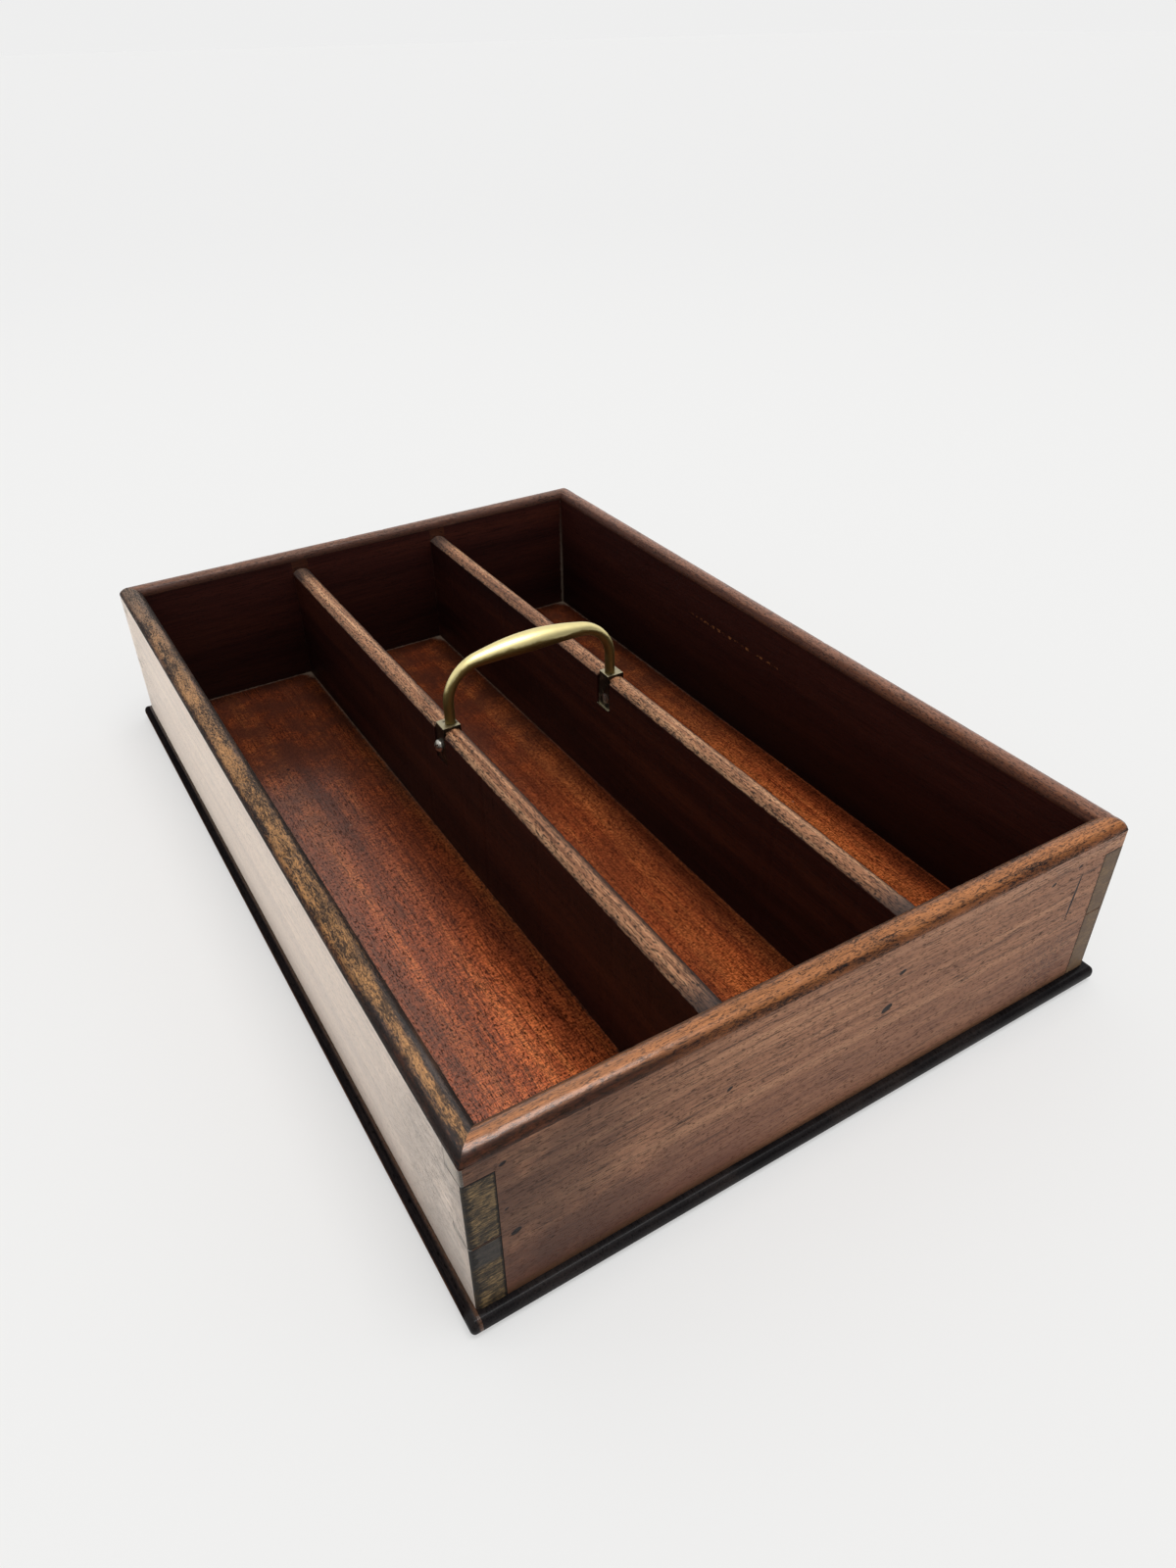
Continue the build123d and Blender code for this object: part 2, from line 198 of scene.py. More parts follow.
class Tree:
    """Any node tree, with short ways to add its nodes."""

    def __init__(self, tree: bpy.types.NodeTree) -> None:
        """Empty a node tree."""
        self.tree = tree
        tree.nodes.clear()

    def node(self, kind: str, settings: dict[str, object],
             values: dict[Union[str, int], object]) -> bpy.types.Node:
        """Add any node.

        Args:
            kind: Blender's type of the node.
            settings: Properties that are set first; "stops" are a ramp's (position, colour) pairs.
            values: Values or signals of the input sockets, by name or number.

        Returns:
            The node.
        """
        made = self.tree.nodes.new(kind)
        for key, value in settings.items():
            if key == "stops":
                ramp = made.color_ramp
                while len(ramp.elements) < len(value):
                    ramp.elements.new(1.0)
                for element, (position, colour) in zip(ramp.elements, value):
                    element.position = position
                    element.color = (*colour, 1.0)
            else:
                setattr(made, key, value)
        for key, value in values.items():
            if isinstance(value, Signal):
                self.tree.links.new(value.socket, made.inputs[key])
            else:
                made.inputs[key].default_value = value
        return made

    def parts(self, vector: Signal) -> tuple[Signal, Signal, Signal]:
        """The three components of a vector."""
        made = self.node("ShaderNodeSeparateXYZ", {}, {0: vector})
        return tuple(Signal(self, output) for output in made.outputs)

    def scaled(self, vector: Signal, factors: Point) -> Signal:
        """A vector with each component times its own factor."""
        made = self.node("ShaderNodeVectorMath", {"operation": "MULTIPLY"}, {0: vector, 1: factors})
        return Signal(self, made.outputs[0])

    def shifted(self, vector: Signal, other: Union[Signal, Point]) -> Signal:
        """Sum of two vectors."""
        made = self.node("ShaderNodeVectorMath", {"operation": "ADD"}, {0: vector, 1: other})
        return Signal(self, made.outputs[0])

    def noise(self, vector: Signal, detail: float = 2.0, rough: float = 0.5,
              bend: float = 0.0) -> Signal:
        """Noise texture.

        Args:
            vector: Where it is read, in units of one blotch.
            detail: Octaves.
            rough: Share of the finer octaves.
            bend: Distortion.

        Returns:
            The noise, about 0.5 on average.
        """
        values = {"Vector": vector, "Scale": 1.0, "Detail": detail, "Roughness": rough,
                  "Distortion": bend}
        return Signal(self, self.node("ShaderNodeTexNoise", {}, values).outputs[0])

    def mix(self, share: Number, first: Union[Colour, Signal], second: Union[Colour, Signal]) -> Signal:
        """Blend of two colours.

        Args:
            share: 0 gives the first, 1 the second.
            first: A colour.
            second: The other colour.

        Returns:
            The blend.
        """
        values = {0: share, 6: self.opaque(first), 7: self.opaque(second)}
        made = self.node("ShaderNodeMix", {"data_type": "RGBA"}, values)
        return Signal(self, made.outputs[2])

    def darkened(self, colour: Union[Colour, Signal], factor: Signal) -> Signal:
        """A colour times a value.

        Args:
            colour: The colour.
            factor: The value; it may be over 1.

        Returns:
            The darker or lighter colour.
        """
        grey = self.node("ShaderNodeCombineColor", {}, {0: factor, 1: factor, 2: factor})
        values = {0: 1.0, 6: self.opaque(colour), 7: Signal(self, grey.outputs[0])}
        made = self.node("ShaderNodeMix", {"data_type": "RGBA", "blend_type": "MULTIPLY"}, values)
        return Signal(self, made.outputs[2])

    def ramp(self, value: Signal, stops: Sequence[tuple[float, Colour]]) -> Signal:
        """Colour ramp over a value from 0 to 1."""
        made = self.node("ShaderNodeValToRGB", {"stops": stops}, {0: value})
        return Signal(self, made.outputs[0])

    @staticmethod
    def opaque(colour: Union[Colour, Signal]) -> object:
        """A colour with full opacity; a signal stays as it is."""
        return colour if isinstance(colour, Signal) else (*colour, 1.0)


class Graph(Tree):
    """Node tree of one material, ending in a Principled shader."""

    def __init__(self, name: str, constants: dict[str, object]) -> None:
        """Start a material.

        Args:
            name: Name of the material.
            constants: Values of the shader's sockets that are the same all over.
        """
        self.material = bpy.data.materials.new(name)
        self.material.use_nodes = True
        super().__init__(self.material.node_tree)
        self.shader = self.node("ShaderNodeBsdfPrincipled", {}, constants)
        output = self.node("ShaderNodeOutputMaterial", {}, {})
        self.tree.links.new(self.shader.outputs[0], output.inputs["Surface"])
        coordinates = self.node("ShaderNodeTexCoord", {}, {})
        # the place, and so x, y and z, are in millimetres
        self.place = self.scaled(Signal(self, coordinates.outputs["Object"]), (1 / MM,) * 3)
        self.x, self.y, self.z = self.parts(self.place)

    def streaks(self, grain: Grain, across: float, along: float, detail: float, rough: float,
                place: Optional[Signal] = None) -> Signal:
        """Noise that is drawn out along the grain.

        Args:
            grain: Direction of the fibres.
            across: Streaks per millimetre across the fibres.
            along: Streaks per millimetre along them.
            detail: Octaves.
            rough: Share of the finer octaves.
            place: Where it is read, if that isn't simply the place on the surface.

        Returns:
            The noise.
        """
        factors = [across] * 3
        factors[grain.value] = along
        return self.noise(self.scaled(self.place if place is None else place, tuple(factors)), detail, rough)

    def blotches(self, per_mm: float, detail: float = 3.0, shift: float = 0.0) -> Signal:
        """Noise that is the same in every direction.

        Args:
            per_mm: Blotches per millimetre.
            detail: Octaves.
            shift: Moves the pattern, so that two layers differ.

        Returns:
            The noise.
        """
        moved = self.shifted(self.place, (shift, shift / 2, -shift))
        return self.noise(self.scaled(moved, (per_mm,) * 3), detail, 0.6)

    def cells(self, per_mm: float, spread: Point = (1.0, 1.0, 1.0)) -> Signal:
        """Cells round scattered points.

        Args:
            per_mm: Cells per millimetre.
            spread: Factors on that along X, Y and Z.

        Returns:
            Distance to the nearest point, in units of their spacing.
        """
        vector = self.scaled(self.place, tuple(per_mm * factor for factor in spread))
        made = self.node("ShaderNodeTexVoronoi", {}, {"Vector": vector, "Scale": 1.0})
        return Signal(self, made.outputs["Distance"])

    def spot(self, across: Signal, upright: Signal, size: Point, lean: float = 0.0) -> Signal:
        """Mask of one small elliptical mark.

        Args:
            across: Distance from its middle, one way.
            upright: Distance from its middle, the other way.
            size: Half its width, half its height and the width of its soft edge, all in millimetres.
            lean: Shift across per millimetre upright.

        Returns:
            1 inside the mark and 0 outside it.
        """
        wide, high, soft = size
        first = (across - upright * lean) / wide
        second = upright / high
        return (first * first + second * second).step(1 + soft / wide, 1 - soft / wide)

    def finish(self, colour: Signal, roughness: Number, height: Signal, depth: float,
               coat: Optional[Signal] = None) -> bpy.types.Material:
        """Feed the shader.

        Args:
            colour: Base colour.
            roughness: Roughness.
            height: Relief, from 0 to 1.
            depth: Depth of that relief in millimetres.
            coat: Weight of the polish, where it varies.

        Returns:
            The finished material.
        """
        relief = {"Height": height, "Distance": depth * MM, "Strength": 1.0}
        bump = self.node("ShaderNodeBump", {}, relief)
        for name, signal in (("Base Color", colour), ("Roughness", roughness), ("Coat Weight", coat),
                             ("Normal", Signal(self, bump.outputs[0]))):
            if isinstance(signal, Signal):
                self.tree.links.new(signal.socket, self.shader.inputs[name])
            elif signal is not None:
                self.shader.inputs[name].default_value = signal
        return self.material


# ------------------------------------------------------------------ wood
@dataclass(frozen=True)
class Timber:
    """Figure of one mahogany board: broad stripes, fibres, open pores and fine cross ripples.

    Attributes:
        grain: Direction of the fibres.
        dark: Colour of the darkest wood.
        middle: Colour between.
        light: Colour of the lightest wood.
        stripe_mm: Width of the broad stripes.
        pore_depth: How much a pore darkens.
        pore_share: Level of the noise over which it is a pore; a higher one gives fewer pores.
        wander_mm: How far the fibres stray from a straight line.
        ripple: Strength of the cross ripples.
        contrast: Reach of the tones round the middle; a smaller one gives harder contrast.
        line_depth: How much the fine grain lines darken.
    """

    grain: Grain
    dark: Colour
    middle: Colour
    light: Colour
    stripe_mm: float = 22.0
    pore_depth: float = 0.7
    pore_share: float = 0.60
    wander_mm: float = 6.0
    ripple: float = 0.05
    contrast: float = 0.16
    line_depth: float = 0.35

    def figure(self, graph: Graph) -> tuple[Signal, Signal, Signal]:
        """Lay the figure on a graph.

        Args:
            graph: The material's graph.

        Returns:
            Colour, fibre signal and pore mask.
        """
        wander = (graph.noise(graph.scaled(graph.place, (0.006,) * 3), 1.0) - 0.5) * self.wander_mm
        offsets = graph.node("ShaderNodeCombineXYZ", {}, {0: wander, 1: wander, 2: wander * 0.5})
        bent = graph.shifted(graph.place, Signal(graph, offsets.outputs[0]))

        def streaks(across: float, along: float, detail: float, rough: float) -> Signal:
            """Noise along the grain, bent as the fibres are."""
            return graph.streaks(self.grain, across, along, detail, rough, bent)

        stripes = streaks(1 / self.stripe_mm, 0.0035, 3.0, 0.55)
        fibres = streaks(1.2, 0.03, 4.0, 0.7)
        threads = streaks(2.6, 0.16, 2.0, 0.6)
        pores = streaks(2.5, 0.55, 1.0, 0.5).step(self.pore_share, self.pore_share + 0.09)
        ripples = streaks(0.7, 2.2, 2.0, 0.6).step(0.43, 0.57)
        lines = streaks(2.2, 0.06, 2.0, 0.6).step(0.57, 0.62)
        tone = stripes * 0.55 + fibres * 0.27 + threads * 0.18
        tone = tone.step(0.5 - self.contrast, 0.5 + self.contrast)
        colour = graph.ramp(tone, ((0.0, self.dark), (0.5, self.middle), (1.0, self.light)))
        shade = ((1 - pores * self.pore_depth) * (1 - lines * self.line_depth)
                 * (1 + (ripples - 0.5) * (2 * self.ripple)))
        return graph.darkened(colour, shade), fibres, pores


POLISH = {"Coat Weight": 0.3, "Coat Roughness": 0.22, "Coat IOR": 1.4, "Specular IOR Level": 0.12}
DUST = (0.20, 0.155, 0.115)
DEEP = ((0.009, 0.0026, 0.0026), (0.027, 0.0066, 0.0048), (0.056, 0.0140, 0.0072))
# tones of the side boards: the ends' mahogany painted paler, a painted reflection of their glancing sheen
PALE_PAINTED_SHEEN = ((0.250, 0.135, 0.082), (0.580, 0.370, 0.240), (0.800, 0.580, 0.390))
BROWN = ((0.165, 0.067, 0.034), (0.330, 0.152, 0.081), (0.480, 0.248, 0.134))


def bloomed(weight: float) -> dict[str, object]:
    """Shader constants of the warm sheen that dry wax gives at a glancing angle."""
    return {"Sheen Weight": weight, "Sheen Roughness": 0.40, "Sheen Tint": (1.0, 0.88, 0.77, 1.0)}


@dataclass(frozen=True)
class BaseBoardFinish:
    """Waxed red floor inside the tray, and a black-stained edge worn brown along its arris.

    Attributes:
        inner_x: Inner face of the side boards.
        inner_y: Inner face of the end boards.
        divider_x: Middle plane of the dividers.
        divider_half: Half their thickness.
        half_x: Half the board's width.
        under_wall: How far out from the walls' inner faces the stain starts, hidden under the walls.
        waxed: Tones of the floor.
        stained: Tones of the black edge.
        raw: Tones of the underside.
        deep_red: Tint of the floors past the left divider.
        old_stain: Old dark stains.
        haze: Pale painted reflection of the polish along the left side.
        pit: Small dark pits.
        chip: Small pale chips.
        rubbed: Wood that shows where the edge's arris is rubbed through.
        ledge: Brown of the projecting ledge beside the left wall.
    """

    inner_x: float = INNER_X
    inner_y: float = INNER_Y
    divider_x: float = DIVIDER_X
    divider_half: float = DIVIDER_HALF
    half_x: float = HALF_X + LEDGE
    under_wall: float = 9.0
    waxed: Shades = ((0.095, 0.018, 0.007), (0.330, 0.068, 0.018), (0.58, 0.160, 0.042))
    stained: Shades = ((0.0050, 0.0044, 0.0050), (0.0100, 0.0082, 0.0088), (0.020, 0.015, 0.014))
    raw: Shades = ((0.10, 0.045, 0.025), (0.19, 0.095, 0.055), (0.27, 0.15, 0.09))
    deep_red: Colour = (0.170, 0.030, 0.009)
    old_stain: Colour = (0.058, 0.0175, 0.0100)
    haze: Colour = (0.52, 0.36, 0.28)
    pit: Colour = (0.010, 0.006, 0.006)
    chip: Colour = (0.42, 0.24, 0.16)
    rubbed: Colour = (0.150, 0.075, 0.048)
    ledge: Colour = (0.050, 0.028, 0.017)

    def aged_and_shaded(self, graph: Graph, colour: Signal, pores: Signal) -> Signal:
        """Age the floor with stains, pits and chips, and paint its light: painted shade at the back, past the
        left divider and beside it, painted light at the front, and a pale painted reflection along the left
        side.

        Args:
            graph: The material's graph.
            colour: Colour of the clean floor.
            pores: Mask of its open pores.

        Returns:
            The floor's colour, with its age and its painted shade and reflection.
        """
        # painted shade and light: the floor lighter towards the front, darker at the back, beside the left
        # divider and past it
        near = graph.y.step(150.0, -185.0)
        beyond = graph.x.step(-43.0, -36.0)
        shade_by_divider = near * graph.x.step(-85.0, -46.0) * 0.42
        shaded = beyond * (near * 0.36 - 0.10) + (1 - beyond) * shade_by_divider
        colour = graph.darkened(colour, (near * 1.15 + 0.60) * (1 - shaded))
        colour = graph.mix(beyond * 0.25, colour, self.deep_red)
        stain = graph.streaks(Grain.ALONG_Y, 0.045, 0.012, 3.0, 0.6).step(0.45, 0.66)
        # dark blotches that grow denser towards the back
        back_blotches = graph.blotches(0.06, 4.0, 40.0).step(0.30, 0.62) * 0.60 + 0.28
        stain = (stain * 0.40).most(back_blotches * graph.y.step(-80.0, 120.0))
        colour = graph.mix(stain, colour, self.old_stain)
        # painted reflection: a pale haze where the polish mirrors the room, along the left side
        haze = graph.x.step(-50.0, -105.0) * graph.y.step(130.0, -20.0) * (1 - pores * 0.8)
        colour = graph.mix(haze * 0.15, colour, self.haze)
        pits = graph.cells(0.05, (1.0, 0.7, 1.0)).step(0.050, 0.030)
        colour = graph.mix(pits * 0.8, colour, self.pit)
        chips = graph.cells(0.043, (0.8, 1.0, 1.0)).step(0.034, 0.020) * (1 - pits)
        return graph.mix(chips * 0.55, colour, self.chip)

    def corners(self, graph: Graph) -> tuple[Signal, Signal]:
        """Dust, and old wax with painted shade, where the floor meets the walls and the dividers.

        Args:
            graph: The material's graph.

        Returns:
            Masks of the pale dust and of the dark wax and painted shade.
        """
        side = graph.x.beside(self.inner_x)
        divider = abs(graph.x.beside(self.divider_x) - self.divider_half)
        end = graph.y.beside(self.inner_y)
        gap = side.least(divider).least(end)
        ragged = gap + (graph.blotches(0.5, 4.0) - 0.5) * 2.6
        far = graph.y.step(-40.0, 175.0) * 0.38 + 0.06
        heap = side.least(divider) + end * 0.8 + (graph.blotches(0.30, 4.0) - 0.5) * 7.0
        heap = heap.step(8.0, 2.5) * graph.y.step(100.0, 170.0) * 0.75
        # the second mask darkens the floor within 13 mm of the walls and dividers: painted corner shade with
        # old wax
        return (ragged.step(1.3, -0.3) * far).most(heap), gap.step(13.0, 0.5) * 0.50

    def black_edge(self, graph: Graph) -> Signal:
        """Black stain of the projecting edge, rubbed through along the left side's arris.

        Args:
            graph: The material's graph.

        Returns:
            Its colour.
        """
        black, _, _ = Timber(Grain.ALONG_Y, *self.stained).figure(graph)
        rubbed = (0 - graph.x).step(self.half_x - 1.3, self.half_x - 0.4) * graph.z.step(4.6, 3.4)
        broken = graph.blotches(0.12, 5.0, 90.0).step(0.36, 0.52) * 0.6 + 0.4
        return graph.mix(rubbed * graph.y.step(-192.0, -175.0) * broken * 0.85, black, self.rubbed)

    def material(self) -> bpy.types.Material:
        """Dress the floor, the edge and the underside.

        Returns:
            The base board's material.
        """
        graph = Graph("base_board_wood", {**POLISH, "Specular IOR Level": 0.0})
        floor = Timber(Grain.ALONG_Y, *self.waxed, stripe_mm=12.0, pore_depth=0.80, pore_share=0.55,
                       ripple=0.42, contrast=0.17, line_depth=0.6)
        colour, fibres, pores = floor.figure(graph)
        colour = self.aged_and_shaded(graph, colour, pores)
        dust, wax = self.corners(graph)
        # painted corner shade with old wax darkens the floor, then dust pales it
        colour = graph.mix(dust, graph.darkened(colour, 1 - wax), DUST)
        out_x = abs(graph.x) - (self.inner_x + self.under_wall)
        out_y = abs(graph.y) - (self.inner_y + self.under_wall)
        brown_ledge = graph.x.step(-126.9, -127.1) * out_x.step(2.0, 0.9)
        edge = out_x.most(out_y).step(-0.4, 0.4) * (1 - brown_ledge)
        black = self.black_edge(graph)
        colour = graph.mix(edge, graph.mix(out_x.step(0.0, 0.4) * 0.95, colour, self.ledge), black)
        underside = graph.z.step(0.6, 0.1)
        raw, _, _ = Timber(Grain.ALONG_Y, *self.raw).figure(graph)
        colour = graph.mix(underside, colour, raw)
        rough = 0.42 + pores * 0.3 + dust * 0.4 + underside * 0.35 + (fibres - 0.5) * 0.15
        polished = graph.x.step(-50.0, -112.0) * 0.62 + 0.38
        coat = (1 - edge) * (1 - underside) * (1 - dust) * (1 - pores * 0.6) * polished
        coat = coat + edge * graph.y.step(-188.0, -190.0) * 0.32
        return graph.finish(colour, rough, fibres * 0.35 - pores + dust * 0.4, 0.08, coat)


# place across, height and half height of each dent in the front board, in millimetres
FRONT_DENTS = ((-115.2, 65.5, 0.8), (-115.2, 46.0, 0.5), (-113.0, 34.0, 1.2), (92.0, 62.0, 0.8),
               (104.4, 64.5, 0.7), (20.0, 44.0, 1.6), (24.0, 58.0, 1.0), (-42.0, 46.0, 0.8))


@dataclass(frozen=True)
class OuterWallFinish:
    """Outside of a wall: aged brown, redder at the foot, with fine dark grain lines, ticks and dents.

    Attributes:
        name: Name of the material.
        grain: Direction of the fibres.
        gloss: Weight of the polish.
        haze: Roughness of the polish.
        under_gloss: Specular level of the wood below it.
        under_haze: Roughness of that wood.
        bloom: Weight of the dry wax's sheen.
        relief_mm: Depth of the grain.
        shades: Tones of the wood.
        handled_tint: How much the part that hands have held is darker.
        handled_wear: How much polish it has lost.
        half_x: Outer face of the side boards.
        half_y: Outer face of the end boards.
        foot_red: Tint of the foot.
        handled_dark: Tint of what hands have held.
        bruise: Bruised patch on the front board.
        foot_shade_tint: Painted shade along the foot.
        mark: Ticks, dents and frayed grain.
    """

    name: str
    grain: Grain
    gloss: float
    haze: float
    under_gloss: float
    under_haze: float
    bloom: float
    relief_mm: float
    shades: Shades
    handled_tint: float
    handled_wear: float
    half_x: float = HALF_X
    half_y: float = HALF_Y
    foot_red: Colour = (0.110, 0.037, 0.022)
    handled_dark: Colour = (0.050, 0.024, 0.017)
    bruise: Colour = (0.036, 0.022, 0.018)
    foot_shade_tint: Colour = (0.070, 0.034, 0.016)
    mark: Colour = (0.010, 0.008, 0.009)

    def marks(self, graph: Graph) -> Signal:
        """Short dark ticks; frayed grain near the sides' ends, and dents and a scribed line in front.

        Args:
            graph: The material's graph.

        Returns:
            Mask of the marks.
        """
        marks = graph.streaks(self.grain, 0.75, 0.20, 3.0, 0.7).step(0.68, 0.74) * 0.7
        if self.grain is Grain.ALONG_Y:
            frayed = graph.streaks(self.grain, 1.5, 0.15, 5.0, 0.75).step(0.525, 0.575)
            return marks.most(frayed * (self.half_y - abs(graph.y)).step(62.0, 2.0) * 0.85)
        front = graph.y.step(0.0, -1.0)
        for across, upright, size in FRONT_DENTS:
            dent = graph.spot(graph.x - across, graph.z - upright, (size * 1.3, size, 0.5), 0.5)
            marks = marks.most(dent * front)
        scribed = graph.spot(graph.x - 106.0, graph.z - 50.0, (0.55, 10.5, 0.2), 0.09)
        broken = graph.blotches(0.4, 2.0, 33.0).step(0.22, 0.34)
        return marks.most(scribed * broken * front)

    def worn(self, graph: Graph, colour: Signal, fibres: Signal, handled: Signal) -> Signal:
        """Redden the foot, darken what hands have held, bruise the front and paint shade along the foot.

        Args:
            graph: The material's graph.
            colour: Colour of the clean wood.
            fibres: Its fibre signal.
            handled: Mask of what hands have darkened.

        Returns:
            The worn colour, with the painted shade along the foot.
        """
        foot = graph.z.step(46.0, 8.0) * 0.6 + (graph.streaks(self.grain, 0.05, 0.02, 3.0, 0.5) - 0.5)
        near = (graph.x + self.half_x).step(190.0, 20.0) * graph.y.step(-189.0, -190.0)
        colour = graph.mix((foot * (near * 0.7 + 0.75)).clamped(), colour, self.foot_red)
        colour = graph.mix(handled * self.handled_tint, colour, self.handled_dark)
        bruised = (graph.spot(graph.x - 100.0, graph.z - 20.0, (11.0, 13.0, 6.0), 0.3)
                   * graph.blotches(0.8, 4.0, 44.0).step(0.52, 0.60) * graph.y.step(0.0, -1.0))
        colour = graph.mix(bruised * 0.6, colour, self.bruise)
        # painted shade: the wall's lowest few millimetres, over the base board, darker
        foot_shade = (graph.z + (fibres - 0.5) * 3.0).step(10.5, 6.8)
        return graph.mix(foot_shade * 0.75, colour, self.foot_shade_tint)

    def material(self) -> bpy.types.Material:
        """Dress the outside.

        Returns:
            Its material.
        """
        graph = Graph(self.name, {**POLISH, **bloomed(self.bloom), "Coat Roughness": self.haze,
                                  "Coat IOR": 1.5, "Specular IOR Level": self.under_gloss})
        wood = Timber(self.grain, *self.shades, stripe_mm=5.0, pore_depth=0.65, pore_share=0.57,
                      contrast=0.22, line_depth=0.62)
        colour, fibres, pores = wood.figure(graph)
        corner = graph.y + self.half_y if self.grain is Grain.ALONG_Y else graph.x + self.half_x
        handled = corner.step(110.0, 6.0) * graph.blotches(0.04, 4.0, 15.0).step(0.26, 0.56)
        colour = self.worn(graph, colour, fibres, handled)
        marks = self.marks(graph)
        colour = graph.mix(marks * 0.95, colour, self.mark)
        under_rim = graph.z.step(70.5, 70.8)
        colour = graph.darkened(colour, 1 - under_rim * 0.30)
        rough = pores * 0.2 + (fibres - 0.5) * 0.2 + self.under_haze
        coat = (1 - marks * 0.8) * (1 - pores * 0.25) * (1 - handled * self.handled_wear) * self.gloss
        return graph.finish(colour, rough, fibres * 0.45 - pores * 0.6 - marks, self.relief_mm, coat)


@dataclass(frozen=True)
class InnerWallFinish:
    """Inside of a wall: dark red-brown, with painted shade darkest at the foot, and dust in the corners.

    Attributes:
        name: Name of the material.
        grain: Direction of the fibres.
        inner_x: Inner face of the side boards.
        inner_y: Inner face of the end boards.
        floor_z: Height of the floor.
        scratch: Bare wood of the long scratch on the right side board.
    """

    name: str
    grain: Grain
    inner_x: float = INNER_X
    inner_y: float = INNER_Y
    floor_z: float = FLOOR_Z
    scratch: Colour = (0.26, 0.100, 0.036)

    def material(self) -> bpy.types.Material:
        """Dress the inside.

        Returns:
            Its material.
        """
        graph = Graph(self.name, POLISH)
        deep = Timber(self.grain, *DEEP, stripe_mm=16.0, pore_depth=0.4, contrast=0.30)
        colour, fibres, pores = deep.figure(graph)
        # painted shade and light: darker towards the floor, lighter towards the top
        colour = graph.darkened(colour, graph.z.step(16.0, 68.0) + 0.60)
        side = self.grain is Grain.ALONG_Y
        corner = graph.y.beside(self.inner_y) if side else graph.x.beside(self.inner_x)
        ragged = corner.least(graph.z - self.floor_z) + (graph.blotches(0.6, 4.0, 12.0) - 0.5) * 2.6
        upright = (corner + (graph.blotches(0.4, 4.0, 14.0) - 0.5) * 2.0).step(1.5, 0.4)
        upright = upright * graph.z.step(70.0, 30.0)
        dust = (ragged.step(0.5, -0.2) * 0.30).most(upright * 0.70) * graph.y.step(-60.0, 170.0)
        colour = graph.mix(dust, colour, DUST)
        if side:
            scratch = (graph.spot(graph.y - 15.0, graph.z - 53.5, (36.0, 0.7, 8.0))
                       * graph.blotches(0.45, 4.0, 71.0).step(0.53, 0.60) * graph.x.step(0.0, 1.0))
            colour = graph.mix(scratch, colour, self.scratch)
        rough = 0.48 + pores * 0.2 + dust * 0.3
        return graph.finish(colour, rough, fibres * 0.4 - pores * 0.6, 0.07, 0.10 - dust * 0.1)


@dataclass(frozen=True)
class EndGrainFinish:
    """Rough straw-coloured end grain of a tail or pin, dark along its outline.

    Attributes:
        name: Name of the material.
        gloss: Weight of the polish.
        bloom: Weight of the dry wax's sheen.
        inner_x: Inner face of the side boards, where an end grain's outline stands.
        half_x: Outer face of the side boards.
        half_y: Outer face of the end boards.
        needle_z: Height of the needle pin.
        top_pin_z: Height of the outline under the top pin.
        slate_z: Height of the grey patch by the front left corner.
        slate_half: Half that patch's height.
        straw: Tones of the end grain.
        slate: Tones of the grey patch.
        faint: Tint of the front right corner, where the end grain hardly shows.
        outline: Old glue and dirt along the outline.
    """

    name: str
    gloss: float
    bloom: float
    inner_x: float = INNER_X
    half_x: float = HALF_X
    half_y: float = HALF_Y
    needle_z: float = 36.0
    top_pin_z: float = 64.0
    slate_z: float = 31.0
    slate_half: float = 4.6
    straw: Shades = ((0.010, 0.008, 0.006), (0.050, 0.034, 0.019), (0.250, 0.160, 0.068))
    slate: tuple[Colour, Colour] = ((0.018, 0.016, 0.015), (0.056, 0.049, 0.044))
    faint: Colour = (0.190, 0.112, 0.064)
    outline: Colour = (0.007, 0.006, 0.006)

    def material(self) -> bpy.types.Material:
        """Dress the end grain.

        Returns:
            Its material.
        """
        graph = Graph(self.name, {**POLISH, **bloomed(self.bloom), "Coat Roughness": 0.3, "Coat IOR": 1.5})
        rays = graph.noise(graph.scaled(graph.place, (0.35, 0.35, 2.6)), 5.0, 0.8, 0.8)
        streak = graph.blotches(0.16, 3.0, 7.0)
        tone = (rays * 0.75 + streak * 0.25).step(0.40, 0.60)
        colour = graph.ramp(tone, tuple(zip((0.0, 0.5, 1.0), self.straw)))
        front = graph.y.step(0.0, -1.0)
        slate = (graph.z - self.slate_z).band(0.0, self.slate_half, 1.6) * front * graph.x.step(0.0, -1.0)
        colour = graph.mix(slate * 0.9, colour, graph.ramp(rays, tuple(zip((0.35, 0.65), self.slate))))
        faint = graph.x.step(0.0, 1.0) * front
        colour = graph.mix(faint * 0.55, colour, self.faint)
        ragged = (rays - 0.5) * 2.2
        upright = (graph.x.beside(self.inner_x) + ragged).step(0.9, 0.3)
        arris = (self.half_x - abs(graph.x)).most(self.half_y - abs(graph.y))
        torn = graph.noise(graph.scaled(graph.place, (0.22, 0.22, 1.4)), 4.0, 0.8)
        arris = (arris + (torn - 0.5) * 7.0).step(2.4, 1.0)
        needle = (abs(graph.z - self.needle_z) + ragged * 0.5).step(0.8, 0.4)
        top = (abs(graph.z - self.top_pin_z) + ragged * 0.5).step(0.9, 0.4)
        dark = upright.most(needle).most(top).most(arris * 0.85) * (1 - faint * 0.55)
        colour = graph.mix(dark * 0.93, colour, self.outline)
        rough = 0.55 + (rays - 0.5) * 0.3
        return graph.finish(colour, rough, rays - dark * 0.7, 0.16, (1 - dark * 0.7) * self.gloss)


